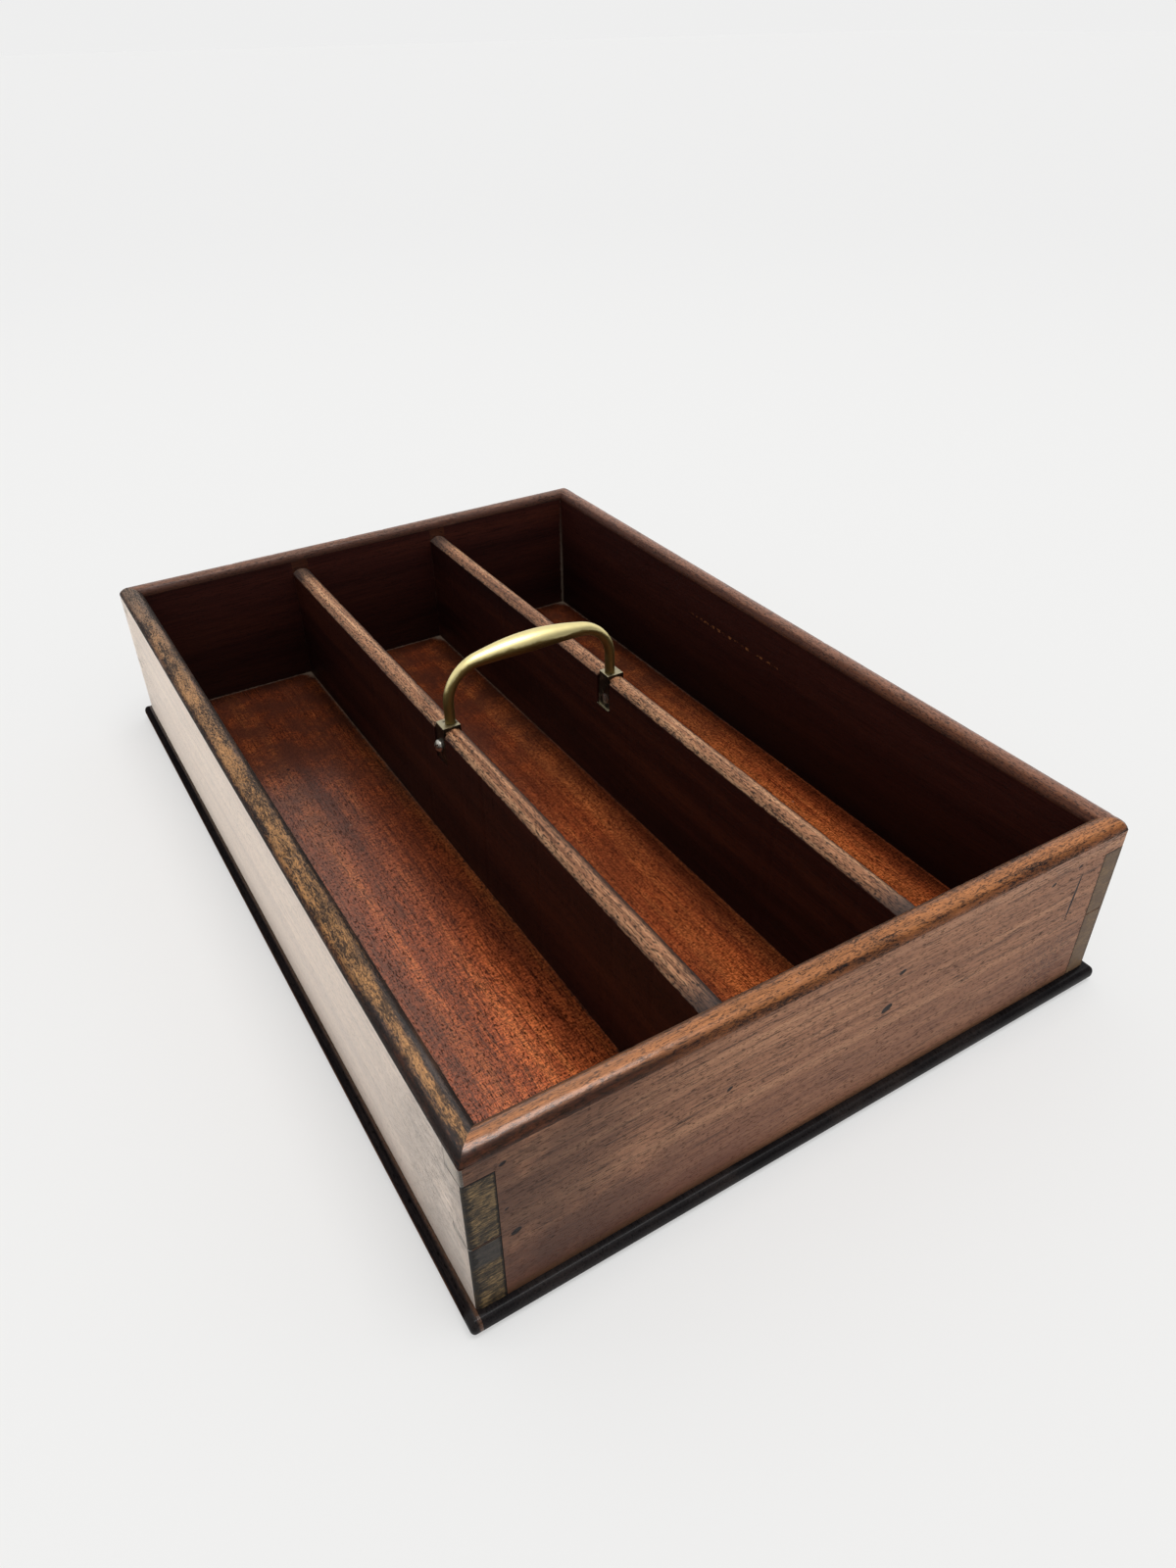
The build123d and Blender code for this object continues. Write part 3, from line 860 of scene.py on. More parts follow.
@dataclass(frozen=True)
class RimFinish:
    """Bullnose worn through to bare wood on its crown, with black grime and darker sides.

    Attributes:
        name: Name of the material.
        grain: Direction of the fibres.
        middle: Distance of the strip's middle from the tray's.
        worn: Bare wood of the crown.
        side: Outer side.
        inner: Inner side.
        clean: Level of the noise over which there is grime; a higher one leaves less grime.
        held_grime: How much grime is left on the crown near the front left corner.
        fading: How much the far end has faded.
        half_x: Outer face of the side boards.
        half_y: Outer face of the end boards.
        top_z: Top of the walls.
        wood: Tones of the wood below the wear.
        faded: Grey-brown of the far end.
        held: Tones of the outer side where it is held.
        grime: Black grime.
    """

    name: str
    grain: Grain
    middle: float
    worn: Colour
    side: Colour
    inner: Colour
    clean: float
    held_grime: float
    fading: float
    half_x: float = HALF_X
    half_y: float = HALF_Y
    top_z: float = WALL_TOP_Z
    wood: Shades = ((0.034, 0.011, 0.006), (0.120, 0.038, 0.015), (0.27, 0.095, 0.032))
    faded: Colour = (0.105, 0.060, 0.038)
    held: tuple[Colour, Colour] = ((0.008, 0.005, 0.004), (0.105, 0.031, 0.014))
    grime: Colour = (0.011, 0.009, 0.009)

    def material(self) -> bpy.types.Material:
        """Dress the rim strip.

        Returns:
            Its material.
        """
        graph = Graph(self.name, {**POLISH, "Coat Roughness": 0.20, "Coat IOR": 1.55})
        wood = Timber(self.grain, *self.wood, stripe_mm=4.0, pore_depth=0.8, pore_share=0.55,
                      contrast=0.18, line_depth=0.6)
        colour, fibres, pores = wood.figure(graph)
        # positive towards the outside of the tray
        outward = abs(graph.x if self.grain is Grain.ALONG_Y else graph.y) - self.middle
        up = graph.z - self.top_z
        # 1 near the front left corner, where hands have darkened and polished the outer side
        held = (graph.x + self.half_x).most(graph.y + self.half_y).step(95.0, 35.0)
        ragged = graph.streaks(self.grain, 0.8, 0.12, 6.0, 0.8)
        patches = graph.streaks(self.grain, 0.20, 0.035, 4.0, 0.7)
        mottle = graph.streaks(self.grain, 2.0, 0.55, 6.0, 0.88)
        shift = (ragged - 0.5) * 8.0 + (patches - 0.5) * 6.0
        crown = outward.band(0.2, 3.0, 1.8)
        # bare crown, shaded towards both sides
        bare = (abs(outward + shift - 0.3) + held * self.held_grime).step(4.6, 2.0)
        tone = (ragged * 0.6 + fibres * 0.4).step(0.32, 0.68) * 0.85 + 0.5
        round_shade = (outward.step(-4.4, 0.6) * 0.5 + 0.5) * (outward.step(4.8, 2.2) * 0.3 + 0.7)
        colour = graph.mix(bare * 0.94, colour, graph.darkened(self.worn, tone * round_shade))
        colour = graph.mix(graph.y.step(100.0, 185.0) * self.fading, colour, self.faded)
        colour = graph.darkened(colour, 1 - pores * 0.6)
        # darker sides, darkest where they are held
        blend = (ragged + mottle) * 0.5
        side = (up + shift * 0.25).step(2.7, 1.5) * outward.step(0.0, 1.0)
        low = tuple(channel * 0.35 for channel in self.side)
        colour = graph.mix(side * 0.9, colour, graph.ramp(blend, ((0.42, low), (0.56, self.side))))
        deep = held * (up + shift * 0.3).step(3.6, 2.8) * outward.step(0.8, 1.6)
        colour = graph.mix(deep * 0.92, colour, graph.ramp(blend, tuple(zip((0.45, 0.64), self.held))))
        inner = (outward + shift * 0.4).step(-2.2, -3.8)
        if self.grain is Grain.ALONG_Y:
            inner = inner.most(held * (outward + shift * 0.3).step(-0.7, -1.8))
        colour = graph.mix(inner * 0.72, colour, self.inner)
        # black grime in patches, in specks and along the joint with the wall
        level = mottle + (patches - 0.5) * 0.55 + (1 - bare) * 0.04 + side * 0.02
        specks = graph.streaks(self.grain, 2.4, 0.80, 2.0, 0.6) + (patches - 0.5) * 0.3
        specks = specks.step(self.clean + 0.06, self.clean + 0.10) * 0.85
        black = level.step(self.clean, self.clean + 0.03).most(specks)
        black = black * (1 - held * (0.9 - self.held_grime * 0.5))
        colour = graph.mix(black * 0.90, colour, self.grime)
        colour = graph.darkened(colour, 1 - (up + (ragged - 0.5)).step(0.35, 0.05) * 0.45)
        rough = 0.40 + black * 0.25 + pores * 0.2 + (patches - 0.5) * 0.2
        relief = (fibres * 0.35 - pores - black * 0.7 + mottle * 0.3) * (1 - held * 0.7)
        coat = crown * 0.45 + held * crown * 0.55
        coat = coat * (1 - black * 0.5) * (1 - side * 0.7) * (1 - deep * 0.7)
        return graph.finish(colour, rough, relief, 0.09, coat)


@dataclass(frozen=True)
class DividerFinish:
    """Dividers: dark faces, and a rounded top rubbed to a pinkish tan.

    Attributes:
        name: Name of the material.
        middle: The divider's middle plane.
        arris_z: Height at which the rounded top begins.
        inner_y: Inner face of the end boards.
        floor_z: Height of the floor.
        tan: Tones of the rubbed top.
        grime: Black grime in its pores.
        far_side_shade: Painted shade along the top's right side, where it turns away.
        ends: The top near the end boards.
    """

    name: str
    middle: float
    arris_z: float = ARRIS_Z
    inner_y: float = INNER_Y
    floor_z: float = FLOOR_Z
    tan: Shades = ((0.110, 0.042, 0.021), (0.400, 0.182, 0.092), (0.68, 0.380, 0.200))
    grime: Colour = (0.020, 0.014, 0.013)
    far_side_shade: Colour = (0.045, 0.026, 0.020)
    ends: Colour = (0.040, 0.030, 0.029)

    def rubbed_top(self, graph: Graph) -> tuple[Signal, Signal, Signal]:
        """Dress the rounded top.

        Args:
            graph: The material's graph.

        Returns:
            Its colour, its pore mask and the mask of its black grime.
        """
        colour, _, pores = Timber(Grain.ALONG_Y, *self.tan, stripe_mm=3.0, pore_depth=0.8,
                                  pore_share=0.53, contrast=0.17, line_depth=0.6).figure(graph)
        off = graph.x - self.middle
        grime = graph.streaks(Grain.ALONG_Y, 1.5, 0.30, 6.0, 0.8)
        density = graph.streaks(Grain.ALONG_Y, 0.15, 0.03, 3.0, 0.6)
        black = (grime + abs(off).step(1.0, 4.0) * 0.05 + (density - 0.5) * 0.35).step(0.60, 0.65)
        # painted highlight along the top's middle, painted shade towards its edges
        colour = graph.darkened(colour, 1.06 - off * off * 0.036)
        colour = graph.mix(black * 0.85, colour, self.grime)
        # painted shade along the top's right side
        colour = graph.mix(off.step(2.3, 3.8) * 0.85, colour, self.far_side_shade)
        ends = abs(graph.y).step(self.inner_y - 24.0, self.inner_y - 4.0)
        return graph.mix(ends * 0.85, colour, self.ends), pores, black

    def material(self) -> bpy.types.Material:
        """Dress the faces and the top.

        Returns:
            The divider's material.
        """
        graph = Graph(self.name, {**POLISH, "Coat Roughness": 0.28})
        colour, fibres, pores = Timber(Grain.ALONG_Y, *DEEP, stripe_mm=14.0, pore_depth=0.4).figure(graph)
        top, top_pores, black = self.rubbed_top(graph)
        wavy = (graph.streaks(Grain.ALONG_Y, 0.5, 0.25, 4.0, 0.7) - 0.5) * 1.6
        crown = (graph.z - self.arris_z + wavy).step(-0.25, 0.25)
        colour = graph.mix(crown, colour, top)
        corner = graph.y.beside(self.inner_y).least(graph.z - self.floor_z)
        ragged = corner + (graph.blotches(0.6, 4.0, 30.0) - 0.5) * 2.4
        dust = ragged.step(0.5, -0.2) * graph.y.step(-60.0, 170.0) * 0.35
        colour = graph.mix(dust, colour, DUST)
        rough = 0.45 + crown * 0.05 + pores * 0.2 + dust * 0.3
        relief = fibres * 0.4 - pores * 0.5 - crown * (top_pores + black) * 0.7
        return graph.finish(colour, rough, relief, 0.10, crown * (0.20 - black * 0.18) + 0.04)


@dataclass(frozen=True)
class SlipFinish:
    """Slips over the dividers' ends, a shade apart from the wall.

    Attributes:
        shades: Tones of the wood.
    """

    shades: Shades = ((0.018, 0.006, 0.004), (0.040, 0.012, 0.007), (0.070, 0.022, 0.011))

    def material(self) -> bpy.types.Material:
        """Dress the slips.

        Returns:
            Their material.
        """
        graph = Graph("slip_wood", POLISH)
        colour, _, pores = Timber(Grain.ALONG_X, *self.shades, stripe_mm=6.0).figure(graph)
        return graph.finish(colour, 0.45 + pores * 0.2, 0 - pores, 0.08)


@dataclass(frozen=True)
class JointLineFinish:
    """Dark line of old glue and wax in an open joint.

    Attributes:
        wax: Colour of the wax.
        glue: Colour of the glue.
    """

    wax: Colour = (0.006, 0.005, 0.005)
    glue: Colour = (0.034, 0.022, 0.014)

    def material(self) -> bpy.types.Material:
        """Dress the joint line.

        Returns:
            Its material.
        """
        graph = Graph("joint_line", {"Specular IOR Level": 0.15})
        grit = graph.blotches(1.4, 3.0, 5.0)
        colour = graph.mix(grit.step(0.40, 0.65), self.wax, self.glue)
        return graph.finish(colour, 0.7 + grit * 0.2, grit, 0.05)


# ------------------------------------------------------------------ metal
@dataclass(frozen=True)
class MetalFinish:
    """Hand-worked metal: bright where it is handled, with patina in patches, and on undersides patina with
    painted shade.

    Attributes:
        name: Name of the material.
        bright: Bare metal.
        patina: Tarnish.
        share: Share of the surface that is tarnished.
        roughness: Roughness of the bare metal.
        per_mm: Patches per millimetre.
        scratch: Depth of the fine relief in millimetres.
        under: How much more of an underside is darkened, by patina and painted shade.
    """

    name: str
    bright: Colour
    patina: Colour
    share: float
    roughness: float
    per_mm: float = 0.5
    scratch: float = 0.006
    under: float = 0.0

    def material(self) -> bpy.types.Material:
        """Dress the metal.

        Returns:
            Its material.
        """
        graph = Graph(self.name, {"Metallic": 1.0})
        geometry = graph.node("ShaderNodeNewGeometry", {}, {})
        _, _, upwards = graph.parts(Signal(graph, geometry.outputs["Normal"]))
        cloud = graph.blotches(self.per_mm, 3.0, 3.0)
        fine = graph.blotches(self.per_mm * 7, 2.0, 21.0)
        # undersides darker: patina with painted shade
        underside = upwards.step(0.75, -0.35) * self.under
        dull = (cloud + (fine - 0.5) * 0.2 + underside).step(0.9 - self.share, 1.15 - self.share)
        colour = graph.mix(dull, self.bright, self.patina)
        colour = graph.darkened(colour, 0.94 + fine * 0.12)
        rough = self.roughness + dull * 0.14 + (fine - 0.5) * 0.06
        return graph.finish(colour, rough, fine, self.scratch)


BAIL_BRASS = MetalFinish("bail_brass", bright=(0.93, 0.80, 0.39), patina=(0.22, 0.160, 0.055),
                         share=0.28, roughness=0.37, per_mm=0.05, scratch=0.003, under=0.65)
SADDLE_BRASS = MetalFinish("saddle_brass", bright=(0.42, 0.37, 0.24), patina=(0.045, 0.038, 0.028),
                           share=0.42, roughness=0.34, per_mm=0.35, scratch=0.01, under=0.40)
SADDLE_EDGE = MetalFinish("saddle_edge_brass", bright=(0.95, 0.91, 0.74), patina=(0.46, 0.41, 0.29),
                          share=0.25, roughness=0.24, per_mm=0.6)
SCREW_STEEL = MetalFinish("saddle_screw_steel", bright=(0.50, 0.48, 0.43), patina=(0.18, 0.16, 0.13),
                          share=0.45, roughness=0.36, per_mm=0.8)
NAIL_IRON = MetalFinish("nail_iron", bright=(0.12, 0.10, 0.09), patina=(0.07, 0.035, 0.02),
                        share=0.50, roughness=0.6, per_mm=0.9)


# ------------------------------------------------------------------ meshes
def grid_mesh(name: str, rings: Sequence[Sequence[Vector]]) -> bpy.types.Object:
    """Closed tube through rings of points, capped at both ends.

    Args:
        name: Name of the object.
        rings: Rings with the same number of points each, in metres.

    Returns:
        The new object, linked to the scene.
    """
    mesh = bmesh.new()
    rows = [[mesh.verts.new(point) for point in ring] for ring in rings]
    count = len(rows[0])
    for lower, upper in zip(rows, rows[1:]):
        for index in range(count):
            after = (index + 1) % count
            mesh.faces.new((lower[index], lower[after], upper[after], upper[index]))
    mesh.faces.new(list(reversed(rows[0])))
    mesh.faces.new(rows[-1])
    bmesh.ops.recalc_face_normals(mesh, faces=mesh.faces)
    return linked(name, mesh)


def linked(name: str, mesh: bmesh.types.BMesh, smooth_angle: float = HARD_EDGE) -> bpy.types.Object:
    """Turn a bmesh into an object of the scene, shaded smooth up to an angle.

    Args:
        name: Name of the object.
        mesh: The bmesh, which is freed.
        smooth_angle: Edges sharper than this many degrees stay hard.

    Returns:
        The object.
    """
    for face in mesh.faces:
        face.smooth = True
    limit = math.radians(smooth_angle)
    for edge in mesh.edges:
        edge.smooth = len(edge.link_faces) != 2 or edge.calc_face_angle(0.0) < limit
    data = bpy.data.meshes.new(name)
    mesh.to_mesh(data)
    mesh.free()
    piece = bpy.data.objects.new(name, data)
    bpy.context.scene.collection.objects.link(piece)
    return piece


def dressed(piece: bpy.types.Object, materials: Iterable[bpy.types.Material], slot: str,
            *nodes: str) -> bpy.types.Object:
    """Give a piece its materials and its body, and hide the CAD nodes that it stands for.

    Args:
        piece: The piece.
        materials: Its materials, in slot order.
        slot: The record's material slot. It is not used.
        nodes: CAD nodes that it replaces.

    Returns:
        The same piece.
    """
    for material in materials:
        piece.data.materials.append(material)
    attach(piece, BODY)
    if nodes:
        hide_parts(*nodes)
    LOG.info("piece %s: %d faces", piece.name, len(piece.data.polygons))
    return piece


def painted(piece: bpy.types.Object, material: bpy.types.Material) -> None:
    """Give a CAD node its material.

    Args:
        piece: The node's own object.
        material: Its material.
    """
    piece.data.materials.clear()
    piece.data.materials.append(material)
    LOG.info("node %s: %s", piece.name, material.name)


def node_mesh(node: str) -> bmesh.types.BMesh:
    """Copy a CAD node's mesh, and join its flat facets into faces.

    Args:
        node: Name of the node.

    Returns:
        The copy, whose faces all have the first material.
    """
    mesh = bmesh.new()
    mesh.from_mesh(frame["nodes"][node].data)
    bmesh.ops.remove_doubles(mesh, verts=mesh.verts, dist=1e-6)
    bmesh.ops.dissolve_limit(mesh, angle_limit=math.radians(1.0), verts=mesh.verts, edges=mesh.edges)
    for face in mesh.faces:
        face.material_index = 0
    return mesh


def turned(point: Vector, halves: tuple[float, float], radius: float) -> Vector:
    """Round a rectangle's corners in plan.

    Args:
        point: Place in millimetres.
        halves: Half the rectangle's width and length.
        radius: Radius of its corners.

    Returns:
        The moved point; one that is not in a corner stays.
    """
    across, along = (abs(point[axis]) - (halves[axis] - radius) for axis in (0, 1))
    if across <= 0 or along <= 0:
        return point
    pull = max(across, along) / math.hypot(across, along) - 1
    return point + Vector((math.copysign(1, point.x) * across, math.copysign(1, point.y) * along, 0)) * pull


def rounded_over(mesh: bmesh.types.BMesh, chosen: Callable[[Vector, Vector], bool], width: float,
                 segments: int, material: int) -> None:
    """Round over the hard edges of a mesh, as handling leaves them.

    Args:
        mesh: The mesh.
        chosen: Says from an edge's two ends, in millimetres, whether it is rounded.
        width: Width of the rounding in millimetres.
        segments: Faces across it.
        material: Material index of its faces.
    """
    edges = [edge for edge in mesh.edges
             if len(edge.link_faces) == 2 and edge.calc_face_angle(0.0) > math.radians(HARD_EDGE)
             and chosen(*(vert.co / MM for vert in edge.verts))]
    bmesh.ops.bevel(mesh, geom=edges, offset=width * MM, segments=segments, profile=0.5,
                    affect="EDGES", clamp_overlap=True, material=material)


# ------------------------------------------------------------------ sub-assemblies
class Part(IntEnum):
    """Which material a wall's face has."""

    INNER = 0
    JOINT = 1
    OUTER = 2
    END_GRAIN = 3


@dataclass
class Carcase:
    """Dovetailed walls on their base board.

    Attributes:
        half_x: Outer face of the side boards.
        half_y: Outer face of the end boards.
        foot_z: Foot of the walls.
        top_z: Top of the walls.
        arris: Width of the rounding of the four upright corners.
        arris_faces: Faces across it.
        joint: Width of the open joints' bevels.
        ledge: How far the base board projects.
        ledge_corner: Radius of its corners in plan.
        ledge_cuts: Where it is cut for that radius, in shares of it.
    """

    half_x: float = HALF_X
    half_y: float = HALF_Y
    foot_z: float = FLOOR_Z
    top_z: float = WALL_TOP_Z
    arris: float = 0.9
    arris_faces: int = 3
    joint: float = 0.13
    ledge: float = LEDGE
    ledge_corner: float = 1.6
    ledge_cuts: tuple[float, ...] = (0.0, 0.3, 0.55, 0.75, 0.9)

    def upright(self, start: Vector, end: Vector) -> bool:
        """Whether an edge is on one of the four upright corners."""
        return ((start - end).to_2d().length < TOUCH and abs(abs(start.x) - self.half_x) < TOUCH
                and abs(abs(start.y) - self.half_y) < TOUCH)

    def shown(self, start: Vector, end: Vector) -> bool:
        """Whether an edge is a joint line on an outer face, between the base board and the rim."""
        inside = any(self.foot_z + TOUCH < point.z < self.top_z - TOUCH for point in (start, end))
        return inside and any(all(abs(abs(point[axis]) - half) < TOUCH for point in (start, end))
                              for axis, half in ((0, self.half_x), (1, self.half_y)))

    def base(self) -> None:
        """Build the base board with its four corners rounded in plan."""
        mesh = node_mesh("base_board")
        halves = (self.half_x + self.ledge, self.half_y + self.ledge)
        for axis, half in enumerate(halves):
            for share in self.ledge_cuts:
                for side in (-1, 1):
                    place, normal = Vector(), Vector()
                    place[axis] = side * (half - self.ledge_corner * (1 - share)) * MM
                    normal[axis] = 1
                    everything = [*mesh.verts, *mesh.edges, *mesh.faces]
                    bmesh.ops.bisect_plane(mesh, geom=everything, plane_co=place, plane_no=normal)
        for vert in mesh.verts:
            vert.co = turned(vert.co / MM, halves, self.ledge_corner) * MM
        wood = BaseBoardFinish().material()
        dressed(linked("base_board_worn", mesh), [wood], "floor_wood", "base_board")

    def wall(self, node: str, axis: int, finishes: Sequence[bpy.types.Material]) -> None:
        """Build one wall with rounded corners and slightly open joints.

        Args:
            node: The CAD node that it stands for.
            axis: Which of X and Y its outer face looks along.
            finishes: Its materials, in the order of Part.
        """
        mesh = node_mesh(node)
        rounded_over(mesh, self.upright, self.arris, self.arris_faces, Part.END_GRAIN)
        rounded_over(mesh, self.shown, self.joint, 1, Part.JOINT)
        halves = (self.half_x, self.half_y)
        for face in mesh.faces:
            if face.material_index == Part.INNER:
                middle = face.calc_center_median() / MM
                for plane in (0, 1):
                    outside = abs(abs(middle[plane]) - halves[plane]) < TOUCH
                    if outside and abs(face.normal[plane]) > 0.99:
                        face.material_index = Part.OUTER if plane == axis else Part.END_GRAIN
        dressed(linked(f"{node}_worn", mesh), finishes, "wall_wood", node)

    def build(self) -> None:
        """Dress the base board, nails and slips, and build the walls."""
        nodes = frame["nodes"]
        self.base()
        painted(nodes["base_nails"], NAIL_IRON.material())
        line = JointLineFinish().material()
        # the side boards' pale shades are a painted reflection of their glancing sheen
        side = OuterWallFinish("side_outer_wood", Grain.ALONG_Y, gloss=0.60, haze=0.30, under_gloss=0.6,
                               under_haze=0.40, bloom=1.0, relief_mm=0.08, shades=PALE_PAINTED_SHEEN,
                               handled_tint=0.70, handled_wear=0.75)
        end = OuterWallFinish("end_outer_wood", Grain.ALONG_X, gloss=0.10, haze=0.30, under_gloss=0.12,
                              under_haze=0.48, bloom=0.0, relief_mm=0.10, shades=BROWN,
                              handled_tint=0.80, handled_wear=0.45)
        sides = (InnerWallFinish("side_inner_wood", Grain.ALONG_Y).material(), line, side.material(),
                 EndGrainFinish("tail_end_grain", gloss=0.10, bloom=0.0).material())
        ends = (InnerWallFinish("end_inner_wood", Grain.ALONG_X).material(), line, end.material(),
                EndGrainFinish("pin_end_grain", gloss=0.6, bloom=1.0).material())
        for node, axis, finishes in (("side_left", 0, sides), ("side_right", 0, sides),
                                     ("end_front", 1, ends), ("end_back", 1, ends)):
            self.wall(node, axis, finishes)
        slips = SlipFinish().material()
        for end_name in ("front", "back"):
            for side_name in ("left", "right"):
                painted(nodes[f"plug_{end_name}_{side_name}"], slips)


RIM_LOOKS: dict[str, dict[str, object]] = {
    "left": {"worn": (0.47, 0.222, 0.070), "side": (0.130, 0.052, 0.020), "inner": (0.060, 0.037, 0.026),
             "clean": 0.505, "held_grime": 1.6, "fading": 0.75},
    "right": {"worn": (0.30, 0.130, 0.075), "side": (0.085, 0.026, 0.015), "inner": (0.058, 0.022, 0.015),
              "clean": 0.610, "held_grime": 0.0, "fading": 0.0},
    "front": {"worn": (0.45, 0.168, 0.054), "side": (0.30, 0.105, 0.038), "inner": (0.130, 0.076, 0.050),
              "clean": 0.575, "held_grime": 0.4, "fading": 0.0},
    "back": {"worn": (0.24, 0.112, 0.070), "side": (0.085, 0.034, 0.022), "inner": (0.060, 0.026, 0.018),
             "clean": 0.620, "held_grime": 0.0, "fading": 0.0},
}


@dataclass
class Rim:
    """Four mitred bullnose strips with worn crowns.

    Attributes:
        width: Width of a strip.
        height: Height of its crown over the wall.
        crown_rise: How much the crown bulges.
        shoulder: Radius between the crown and the side.
        crown_steps: Faces from the crown's middle to a shoulder.
        shoulder_steps: Faces across a shoulder.
        half_x: Outer face of the side boards.
        half_y: Outer face of the end boards.
        base_z: Top of the walls.
        station_mm: Length of the faces along a strip.
        wear: Greatest depth of the general wear.
        wear_per_mm: How quickly it changes, per millimetre.
        dent: Depth of the dents.
        dents_per_mm: How close together they are, per millimetre.
        dent_free: Level of the noise over which there is a dent.
        corner: Radius of the mitred corners in plan.
        foot_corner: That radius at the foot.
        worn_from: Height under which nothing is worn.
    """

    width: float = 9.5
    height: float = 4.0
    crown_rise: float = 2.6
    shoulder: float = 2.4
    crown_steps: int = 5
    shoulder_steps: int = 8
    half_x: float = HALF_X
    half_y: float = HALF_Y
    base_z: float = WALL_TOP_Z
    station_mm: float = 1.6
    wear: float = 0.16
    wear_per_mm: float = 0.055
    dent: float = 0.45
    dents_per_mm: float = 0.23
    dent_free: float = 0.36
    corner: float = 3.6
    foot_corner: float = 1.1
    worn_from: float = 0.4

    def profile(self) -> list[tuple[float, float]]:
        """Draw the cross-section.

        Returns:
            (outward, up) points, from the inner foot over the crown to the outer foot.
        """
        half = self.width / 2
        radius = (half ** 2 + self.crown_rise ** 2) / (2 * self.crown_rise)
        centre_z = self.height - radius
        shoulder_x = half - self.shoulder
        shoulder_z = centre_z + math.sqrt((radius - self.shoulder) ** 2 - shoulder_x ** 2)
        turn = math.asin(shoulder_x / (radius - self.shoulder))
        right = []
        for step in range(self.crown_steps + 1):
            angle = turn * step / self.crown_steps
            right.append((radius * math.sin(angle), centre_z + radius * math.cos(angle)))
        for step in range(1, self.shoulder_steps + 1):
            angle = turn + (math.pi / 2 - turn) * step / self.shoulder_steps
            right.append((shoulder_x + self.shoulder * math.sin(angle),
                          shoulder_z + self.shoulder * math.cos(angle)))
        right += [(half, shoulder_z / 2), (half, 0.0)]
        return [(-x, z) for x, z in reversed(right[1:])] + right

    def strip(self, name: str, along_y: bool, side: int) -> bpy.types.Object:
        """One strip.

        Args:
            name: Name of the piece.
            along_y: Whether it runs along Y.
            side: -1 or 1, the wall that it caps.

        Returns:
            The strip.
        """
        half_run, middle = (self.half_y, self.half_x) if along_y else (self.half_x, self.half_y)
        middle -= self.width / 2
        count = round(2 * half_run / self.station_mm)
        rings = []
        for index in range(count + 1):
            share = 2 * index / count - 1
            ring = []
            for outward, up in self.profile():
                along = share * (half_run - self.width / 2 + outward)
                across = side * (middle + outward)
                flat = (across, along) if along_y else (along, across)
                radius = self.foot_corner + (self.corner - self.foot_corner) * min(up / 2.5, 1.0)
                place = Vector((*flat, self.base_z + up))
                ring.append(self.worn(turned(place, (self.half_x, self.half_y), radius), outward, up))
            rings.append([point * MM for point in ring])
        return grid_mesh(name, rings)

    def worn(self, point: Vector, outward: float, up: float) -> Vector:
        """Move a point of the crown in, by general wear and small dents.

        Args:
            point: Place in millimetres.
            outward: Distance from the strip's middle, outwards.
            up: Height over the wall.

        Returns:
            The moved point.
        """
        if up < self.worn_from:
            return point
        rub = self.wear * (0.5 + 0.5 * noise.noise(point * self.wear_per_mm))
        bruise = noise.noise(point * self.dents_per_mm + Vector((7.0, 3.0, 11.0))) - self.dent_free
        depth = (rub + max(0.0, bruise) * self.dent * 3.0) * min(1.0, up / 2.0)
        side = math.copysign(min(abs(outward) / (self.width / 2), 1.0) ** 3, outward)
        runs_along_y = abs(abs(point.x) - self.half_x) < self.width
        across = Vector((point.x, 0, 0)) if runs_along_y else Vector((0, point.y, 0))
        inwards = -across.normalized() * side * depth if across.length else Vector()
        return point + inwards - Vector((0, 0, depth * (1 - abs(side))))

    def build(self) -> None:
        """Build the four strips."""
        for name, along_y, side in (("left", True, -1), ("right", True, 1),
                                    ("front", False, -1), ("back", False, 1)):
            grain = Grain.ALONG_Y if along_y else Grain.ALONG_X
            middle = (self.half_x if along_y else self.half_y) - self.width / 2
            wood = RimFinish(f"rim_{name}_wood", grain, middle, **RIM_LOOKS[name]).material()
            dressed(self.strip(f"rim_strip_{name}", along_y, side), [wood], "rim_wood", f"rim_{name}")


